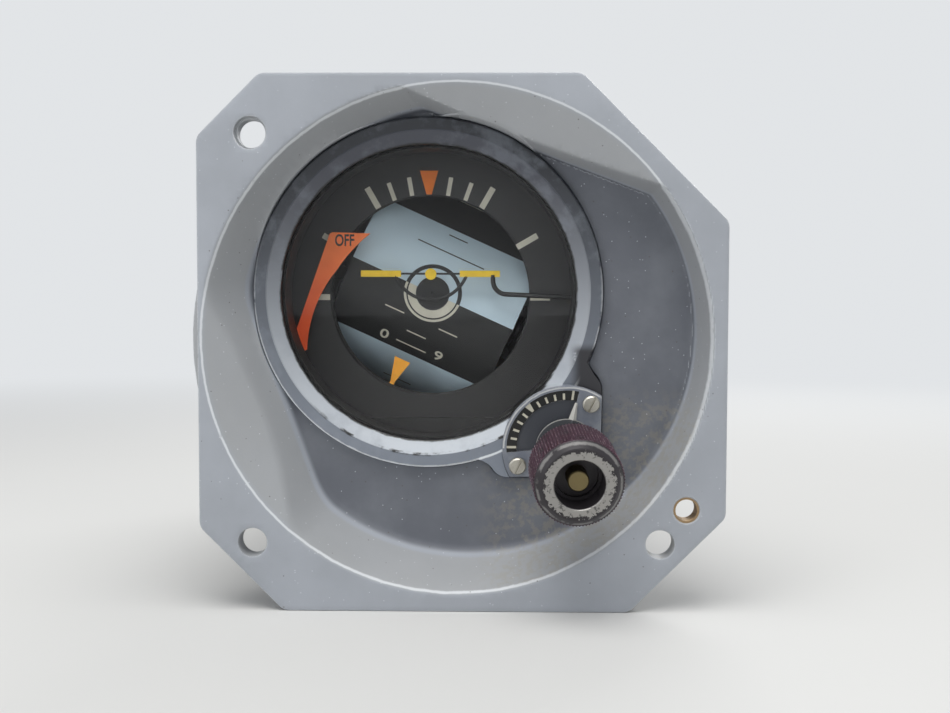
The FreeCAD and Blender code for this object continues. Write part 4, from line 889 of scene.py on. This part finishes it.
def adapter_casting(settings):
    blend = settings.blend / MM
    shape = Shape()
    turn = np.linspace(0, 2 * math.pi, 720, endpoint=False)
    ways = np.stack([np.cos(turn), np.sin(turn)], axis=1)

    def rim(radius):
        return [tuple(p) for p in (ways * radius[:, None]).tolist()]

    def grown(inset):
        return rim(np.maximum(plate_radius(turn, inset), SHOULDER_R))

    face_rim = rim(plate_radius(turn, 0.45))
    spigot = rim(np.full_like(turn, SPIGOT_R))
    spigot_end = rim(np.full_like(turn, SPIGOT_R - 0.5))
    shape.loft([
        at_depth(face_rim, 0.0), at_depth(rim(plate_radius(turn, 0.13)), 0.12),
        at_depth(rim(plate_radius(turn, 0.0)), 0.45), at_depth(rim(plate_radius(turn, 0.0)), 0.6),
        at_depth(grown(0.0), 0.75), at_depth(grown(0.0), PLATE_THICK - 0.3),
        at_depth(grown(0.3), PLATE_THICK),
    ])
    shape.loft([
        at_depth(spigot, PLATE_THICK), at_depth(spigot, PLATE_BACK - 0.5), at_depth(spigot_end, PLATE_BACK),
    ])
    half = HOLE_HALF_PITCH
    flare = [(HOLE_R + 0.45, 0.0), (HOLE_R + 0.12, 0.14), (HOLE_R, 0.45), (HOLE_R, PLATE_THICK)]
    sunk = [(4.05, 0.0), (3.8, 0.12), (3.75, 0.4), (3.75, 2.0), (HOLE_R, 2.0), (HOLE_R, PLATE_THICK)]
    tapped = [(3.25, 0.0), (3.0, 0.25), (3.0, PLATE_THICK)]
    wells = [(-half, half, sunk), (-half, -half, flare), (half, -half, flare), (*INSERT_AT, tapped)]
    tops = [plate_well(shape, x, z, steps) for x, z, steps in wells]
    feet = [circle(steps[-1][0], x, z, 48) for x, z, steps in wells]
    lip = 0.3
    mouth = ring_path(RING_GAP + lip)
    throat = ring_path(RING_GAP)
    mouth_x, mouth_z = (np.array(axis) for axis in zip(*mouth))
    edge_depth = bowl_depth(mouth_x, mouth_z, blend)
    shape.loft([
        [(x, y, z) for (x, z), y in zip(mouth, edge_depth)],
        [(x * 0.4 + u * 0.6, y + 0.08, z * 0.4 + w * 0.6)
         for (x, z), (u, w), y in zip(mouth, throat, edge_depth)],
        [(x, y + lip, z) for (x, z), y in zip(throat, edge_depth)],
        at_depth(throat, PLATE_BACK),
    ])
    in_mouth = inside(mouth)
    in_throat = inside(throat)
    in_face = inside(face_rim)
    in_back = inside(grown(0.3))
    in_spigot = inside(spigot)

    def clear_of(circles, x, z):
        clear = np.ones(np.shape(x), bool)
        for (cx, cz, steps), radius in circles:
            clear &= np.hypot(x - cx, z - cz) > radius
        return clear

    at_face = [(well, well[2][0][0]) for well in wells]
    at_foot = [(well, well[2][-1][0]) for well in wells]
    x, z = bending_points(lambda u, v: bowl_depth(u, v, blend), (-62, -65), (64, 62), settings.fine_step / MM)
    spread = np.arctan2(z, x)
    take = np.hypot(x, z) < plate_radius(spread, 0.6)
    take &= ~in_mouth(x, z) & clear_of([(w, r + 0.15) for w, r in at_face], x, z)
    near_mouth = inside(ring_path(RING_GAP + lip + 0.22))
    take &= ~near_mouth(x, z)
    shape.sheet(
        [face_rim, mouth] + tops,
        lambda u, v: in_face(u, v) & ~in_mouth(u, v) & clear_of(at_face, u, v),
        lambda u, v: bowl_depth(u, v, blend), zip(x[take], z[take]))
    shape.sheet(
        [grown(0.3), spigot] + feet,
        lambda u, v: in_back(u, v) & ~in_spigot(u, v) & clear_of(at_foot, u, v),
        lambda u, v: np.full_like(u, PLATE_THICK))
    shape.sheet(
        [spigot_end, throat], lambda u, v: ~in_throat(u, v), lambda u, v: np.full_like(u, PLATE_BACK))
    return shape


# ---- prints on the drum and the flag --------------------------------------------------------

def drum_point(side, arc_length, lift):
    """A point over the drum: side along its axis, arc length round it from the front pole."""
    angle = arc_length / DRUM_R
    away = Vector((0, -math.cos(angle), 0)) + DRUM_UP * math.sin(angle)
    return DRUM_AT + DRUM_AXIS * side + away * (DRUM_R + lift)


def print_strip(shape, side_from, side_to, arc_from, arc_to, lift=0.03, sunk=0.05):
    """A thin printed bar on the drum."""
    rows = max(1, int(abs(arc_to - arc_from) / 0.6))
    loops = []
    for i in range(rows + 1):
        s = arc_from + (arc_to - arc_from) * i / rows
        loops.append([drum_point(side_from, s, lift), drum_point(side_to, s, lift),
                      drum_point(side_to, s, -sunk), drum_point(side_from, s, -sunk)])
    shape.loft(loops)
    shape.add(loops[0], [(3, 2, 1, 0)])
    shape.add(loops[-1], [(0, 1, 2, 3)])


def print_ring(shape, inner, outer, from_angle, to_angle, pole=0.0, lift=0.05, sunk=0.05):
    """Part of a thin printed ring about the drum's pole, with angles from the drum's axis."""
    count = max(12, int(abs(to_angle - from_angle) / 4))
    loops = []
    for i in range(count + 1):
        angle = math.radians(from_angle + (to_angle - from_angle) * i / count)
        c, s = math.cos(angle), math.sin(angle)
        far, near = pole + outer * s, pole + inner * s
        loops.append([drum_point(outer * c, far, lift), drum_point(inner * c, near, lift),
                      drum_point(inner * c, near, -sunk), drum_point(outer * c, far, -sunk)])
    shape.loft(loops)
    shape.add(loops[0], [(3, 2, 1, 0)])
    shape.add(loops[-1], [(0, 1, 2, 3)])


def lettering(name, text, width, height, material, body, place, weight=0.0):
    """Raised lettering of a given width and height; place puts flat letters into the frame."""
    curve = bpy.data.curves.new(name, "FONT")
    curve.body = text
    curve.size = height
    curve.extrude = 0.03
    curve.offset = weight
    holder = bpy.data.objects.new(name, curve)
    bpy.context.scene.collection.objects.link(holder)
    depsgraph = bpy.context.evaluated_depsgraph_get()
    mesh = bpy.data.meshes.new_from_object(holder.evaluated_get(depsgraph))
    bpy.data.objects.remove(holder)
    flat = [v.co.copy() for v in mesh.vertices]
    low = Vector(min(c[i] for c in flat) for i in range(3))
    high = Vector(max(c[i] for c in flat) for i in range(3))
    middle = (low + high) / 2
    grow = Vector((width / (high.x - low.x), height / (high.y - low.y), 1.0))
    points = [place @ ((c - middle) * grow) for c in flat]
    faces = [tuple(face.vertices) for face in mesh.polygons]
    bpy.data.meshes.remove(mesh)
    return piece(name, points, faces, material, body)


def drum_letter_place(side, arc_length, flipped):
    """Stands flat lettering on the drum, upside down where flipped, reading along its axis."""
    centre = drum_point(side, arc_length, 0.02)
    out = (centre - DRUM_AT - DRUM_AXIS * side).normalized()
    right = -DRUM_AXIS if flipped else DRUM_AXIS
    up = out.cross(right)
    return Matrix.Translation(centre) @ Matrix((right, up, out)).transposed().to_4x4()


# ---- operators: one for each piece or group of like pieces ---------------------------------

class INSTRUMENT_OT_casting(bpy.types.Operator):
    """Builds the cast adapter and finishes its thread insert"""
    bl_idname = "instrument.casting"
    bl_label = "Adapter casting"

    def execute(self, context):
        settings = context.scene.instrument_casting
        shape = adapter_casting(settings)
        piece("adapter_casting", shape.points, shape.faces, casting_paint(settings), "root",
              ["mounting_adapter"], sharp=40.0)
        paint_nodes(bare_metal("insert bronze", (0.34, 0.24, 0.14), 0.35), "threaded_insert")
        return {"FINISHED"}


class INSTRUMENT_OT_bezel(bpy.types.Operator):
    """Finishes the bezel, the window, its seal and the sleeve behind it"""
    bl_idname = "instrument.bezel"
    bl_label = "Bezel and window"

    def execute(self, context):
        paint_nodes(bezel_enamel(), "front_bezel")
        paint_nodes(window_glass(), "window_glass")
        paint_nodes(moulded("seal rubber", (0.02, 0.02, 0.02), 0.6), "glass_seal")
        paint_nodes(matt_black("sleeve black", 0.014, 0.45), "glass_retaining_sleeve")
        return {"FINISHED"}


class INSTRUMENT_OT_case(bpy.types.Operator):
    """Finishes the case, the rear cover, the connector and their screws"""
    bl_idname = "instrument.case"
    bl_label = "Case and connector"

    def execute(self, context):
        enamel = worn_enamel("case enamel", (0.030, 0.031, 0.033), (0.036, 0.037, 0.040), (0.16, 0.16, 0.17),
                             (0.45, 0.45, 0.46), 0.35, 0.38)
        paint_nodes(enamel, "case_shell", "gear_housing", "rear_cover")
        plated = bare_metal("screw plating", (0.56, 0.54, 0.48), 0.30)
        paint_nodes(plated, "adapter_screws", "rear_cover_screws", "connector_screws", "trim_scale_screws",
                    "knob_grub_screw")
        paint_nodes(bare_metal("connector alloy", (0.30, 0.31, 0.24), 0.42), "connector_shell")
        paint_nodes(moulded("insulator green", (0.05, 0.13, 0.09)), "connector_insert", "board_components",
                    "brush_block")
        paint_nodes(bare_metal("brass", (0.72, 0.52, 0.22), 0.22), "connector_pins", "trim_bush",
                    "slip_ring_drum", "plane_slide", "stator_posts", "board_standoffs", "trim_sleeve")
        return {"FINISHED"}


class INSTRUMENT_OT_trim(bpy.types.Operator):
    """Finishes the trim scale, its pointer and the knob"""
    bl_idname = "instrument.trim"
    bl_label = "Trim scale and knob"

    def execute(self, context):
        settings = context.scene.instrument_trim
        paint_nodes(trim_plate_paint(), "trim_scale_plate")
        paint_nodes(knob_finish(settings), "trim_knob")
        paint_nodes(trim_pointer_paint(), "trim_pointer")
        paint_nodes(bare_metal("shaft steel", (0.20, 0.16, 0.08), 0.35), "knob_shaft")
        paint_nodes(bare_metal("steel", (0.52, 0.51, 0.49), 0.25), "cage_spring", "plane_guide",
                    "flag_pivot_pin", "roll_shaft", "rotor_bearings", "pitch_bearings",
                    "roll_bearings", "roll_motor_rotor")
        return {"FINISHED"}


class INSTRUMENT_OT_dial(bpy.types.Operator):
    """Finishes the mask, its marks, the index, the miniature aeroplane and the flag"""
    bl_idname = "instrument.dial"
    bl_label = "Dial"

    def execute(self, context):
        settings = context.scene.instrument_dial
        cream = flat_paint("cream print", tuple(settings.cream))
        paint_nodes(cream, "roll_scale_marks", "trim_scale_marks")
        paint_nodes(matt_black("mask black", 0.016, 0.5), "dial_mask", "lower_shelf")
        paint_nodes(matt_black("wire black", 0.012, 0.4), "plane_wire", "roll_yoke", "pole_cap_front",
                    "pole_cap_rear", "rotor_shaft")
        paint_nodes(flat_paint("index orange", tuple(settings.index)), "roll_index")
        paint_nodes(flat_paint("pointer amber", (1.0, 0.42, 0.025)), "roll_pointer")
        paint_nodes(flat_paint("bar yellow", (0.90, 0.60, 0.02)), "plane_bars")
        paint_nodes(flag_paint(settings), "off_flag")
        place = Matrix.Translation((AX - 21.8, FLAG_FRONT - 0.01, AZ + 13.2)) @ Matrix.Rotation(
            math.radians(90), 4, "X")
        lettering("flag_letters", "OFF", 4.8, 3.0, matt_black("letter black", 0.014, 0.5), "off_flag", place,
                  0.06)
        return {"FINISHED"}


class INSTRUMENT_OT_drum(bpy.types.Operator):
    """Prints the drum and finishes what turns inside"""
    bl_idname = "instrument.drum"
    bl_label = "Drum and gyro"

    def execute(self, context):
        settings = context.scene.instrument_dial
        paint_nodes(drum_print(settings), "display_drum")
        cream = flat_paint("drum cream", tuple(settings.cream))
        ink = matt_black("drum ink", 0.014, 0.55)
        light = Shape()
        dark = Shape()
        for pole in (0.0, math.pi * DRUM_R):
            print_pole(light, dark, pole)
        for level in (90, -90):
            print_ladder(light, dark, level)
        piece("drum_marks_cream", light.points, light.faces, cream, "pitch_drum")
        piece("drum_marks_black", dark.points, dark.faces, ink, "pitch_drum")
        for name, text, side, reach, width, height, paint, slot in (
                ("drum_digit_zero", "0", -7.3, 15.5, 2.3, 2.7, cream, "cream_print"),
                ("drum_digit_six", "6", 7.8, 14.9, 2.2, 2.7, cream, "cream_print")):
            place = drum_letter_place(side, reach, True)
            lettering(name, text, width, height, paint, "pitch_drum", place, 0.04)
        paint_nodes(bare_metal("bare aluminium", (0.62, 0.62, 0.62), 0.30), "drum_end_cap_right",
                    "drum_end_cap_left", "bearing_bulkhead")
        paint_nodes(bare_metal("heavy alloy", (0.26, 0.26, 0.27), 0.35), "gyro_rotor", "roll_balance_weights")
        paint_nodes(moulded("winding", (0.30, 0.09, 0.04)), "rotor_stator", "roll_motor_stator",
                    "flag_solenoid")
        paint_nodes(moulded("board laminate", (0.28, 0.18, 0.07)), "power_board")
        return {"FINISHED"}


def print_pole(light, dark, pole):
    """The rings and ticks about one pole of the drum; the far pole swaps light and dark."""
    if pole:
        light, dark = dark, light

    def bar(shape, side_from, side_to, middle, thick=0.16):
        s = pole + DRUM_R * math.asin(middle / DRUM_R)
        print_strip(shape, side_from, side_to, s - thick, s + thick)

    def ring(shape, inner, outer, from_angle, to_angle):
        print_ring(shape, inner, outer, from_angle, to_angle, pole)

    ring(light, 4.36, 6.42, 0, 180)
    ring(dark, 6.42, 6.80, 0, 180)
    ring(light, 6.80, 7.44, 0, 180)
    ring(dark, 6.42, 7.44, 180, 360)
    bar(light, -10.0, -4.6, 7.7)
    bar(light, 5.1, 10.3, 7.7)
    bar(light, -2.3, 3.1, 11.5)
    bar(light, -3.9, 4.5, 14.9)
    bar(dark, -9.3, 9.3, -11.0)
    bar(dark, -2.6, 2.6, -15.4)


def print_ladder(light, dark, level):
    """Pitch bars above and below the level horizon."""
    for step, half in ((10, 4.0), (20, 7.0), (30, 4.0)):
        for sign in (-1, 1):
            s = DRUM_R * math.radians(level + sign * step)
            on_sky = sign < 0
            print_strip(dark if on_sky else light, -half, half, s - 0.16, s + 0.16)


class INSTRUMENT_OT_stage(bpy.types.Operator):
    """Sets the floor, the soft lights and the camera"""
    bl_idname = "instrument.stage"
    bl_label = "Stage"

    def execute(self, context):
        settings = context.scene.instrument_stage
        scene = context.scene
        scene.view_settings.view_transform = "Standard"
        material, web, shader, place = new_material("floor")
        tone = tuple(settings.floor)
        lit = web.mix(web.noise(place, 4.0), tone, tuple(c * 0.97 for c in tone))
        seen = web.add("ShaderNodeLightPath").outputs["Is Camera Ray"]
        far = web.times(seen, web.step(web.vector("LENGTH", place), 0.25, 0.9))
        web.put(shader.inputs["Base Color"], web.mix(far, lit, (0.0, 0.0, 0.0)))
        web.put(shader.inputs["Emission Color"], web.mix(far, (0.0, 0.0, 0.0), BACKDROP))
        shader.inputs["Emission Strength"].default_value = 1.0
        shader.inputs["Roughness"].default_value = 0.9
        shader.inputs["Specular IOR Level"].default_value = 0.0
        mesh = bpy.data.meshes.new("floor")
        reach = 4.0
        ground = ADAPTER_LOW.z * MM
        mesh.from_pydata([(-reach, -reach, ground), (reach, -reach, ground), (reach, reach, ground),
                          (-reach, reach, ground)], [], [(0, 1, 2, 3)])
        mesh.materials.append(material)
        floor = bpy.data.objects.new("floor", mesh)
        scene.collection.objects.link(floor)
        sky_and_lights(scene)
        camera = bpy.data.cameras.new("camera")
        camera.sensor_width = 36
        camera.lens = settings.lens
        camera.clip_start = 0.01
        holder = bpy.data.objects.new("camera", camera)
        scene.collection.objects.link(holder)
        eye = Vector(settings.eye)
        look = (Vector(settings.target) - eye).to_track_quat("-Z", "Y").to_matrix().to_4x4()
        holder.matrix_world = Matrix.Translation(eye) @ look @ Matrix.Rotation(math.radians(0.13), 4, "Z")
        scene.camera = holder
        return {"FINISHED"}


def sky_and_lights(scene):
    world = bpy.data.worlds.new("studio")
    scene.world = world
    world.use_nodes = True
    web = Web(world.node_tree)
    background = world.node_tree.nodes["Background"]
    path = web.add("ShaderNodeLightPath").outputs
    seen = web.math("MAXIMUM", path["Is Camera Ray"], web.math("MAXIMUM", path["Is Glossy Ray"],
                                                             path["Is Transmission Ray"]))
    web.put(background.inputs["Color"], BACKDROP)
    web.put(background.inputs["Strength"], web.blend(seen, 0.52, 1.0))
    lamps = (
        ("key", (-0.05, -0.22, 0.62), (0.0, 0.0, 0.0), 0.55, 3.7, (1.0, 0.99, 0.97)),
        ("fill", (-0.60, -0.55, 0.10), (0.0, 0.0, -0.01), 0.5, 1.0, (0.95, 0.97, 1.0)),
        ("rear", (0.30, 0.75, 0.45), (0.0, 0.10, 0.0), 0.5, 3.0, (1.0, 1.0, 1.0)),
    )
    for name, place, target, size, power, tint in lamps:
        light = bpy.data.lights.new(name, "AREA")
        light.energy = power
        light.size = size
        light.color = tint
        lamp = bpy.data.objects.new(name, light)
        scene.collection.objects.link(lamp)
        look = (Vector(target) - Vector(place)).to_track_quat("-Z", "Y").to_matrix().to_4x4()
        lamp.matrix_world = Matrix.Translation(Vector(place)) @ look


class INSTRUMENT_PT_panel(bpy.types.Panel):
    """Lists the instrument's pieces"""
    bl_idname = "INSTRUMENT_PT_panel"
    bl_label = "Attitude indicator"
    bl_space_type = "VIEW_3D"
    bl_region_type = "UI"
    bl_category = "Instrument"

    def draw(self, context):
        for operator in OPERATORS:
            self.layout.operator(operator.bl_idname)


SETTINGS = {
    "instrument_casting": CastingSettings, "instrument_dial": DialSettings, "instrument_trim": TrimSettings,
    "instrument_stage": StageSettings,
}
OPERATORS = (
    INSTRUMENT_OT_casting, INSTRUMENT_OT_bezel, INSTRUMENT_OT_case, INSTRUMENT_OT_trim, INSTRUMENT_OT_dial,
    INSTRUMENT_OT_drum, INSTRUMENT_OT_stage,
)


def register():
    for name, group in SETTINGS.items():
        bpy.utils.register_class(group)
        setattr(bpy.types.Scene, name, bpy.props.PointerProperty(type=group))
    for operator in OPERATORS:
        bpy.utils.register_class(operator)
    bpy.utils.register_class(INSTRUMENT_PT_panel)


def unregister():
    bpy.utils.unregister_class(INSTRUMENT_PT_panel)
    for operator in reversed(OPERATORS):
        bpy.utils.unregister_class(operator)
    for name, group in SETTINGS.items():
        delattr(bpy.types.Scene, name)
        bpy.utils.unregister_class(group)


def main():
    register()
    bpy.ops.instrument.casting()
    bpy.ops.instrument.bezel()
    bpy.ops.instrument.case()
    bpy.ops.instrument.trim()
    bpy.ops.instrument.dial()
    bpy.ops.instrument.drum()
    bpy.ops.instrument.stage()


if __name__ == "__main__":
    main()
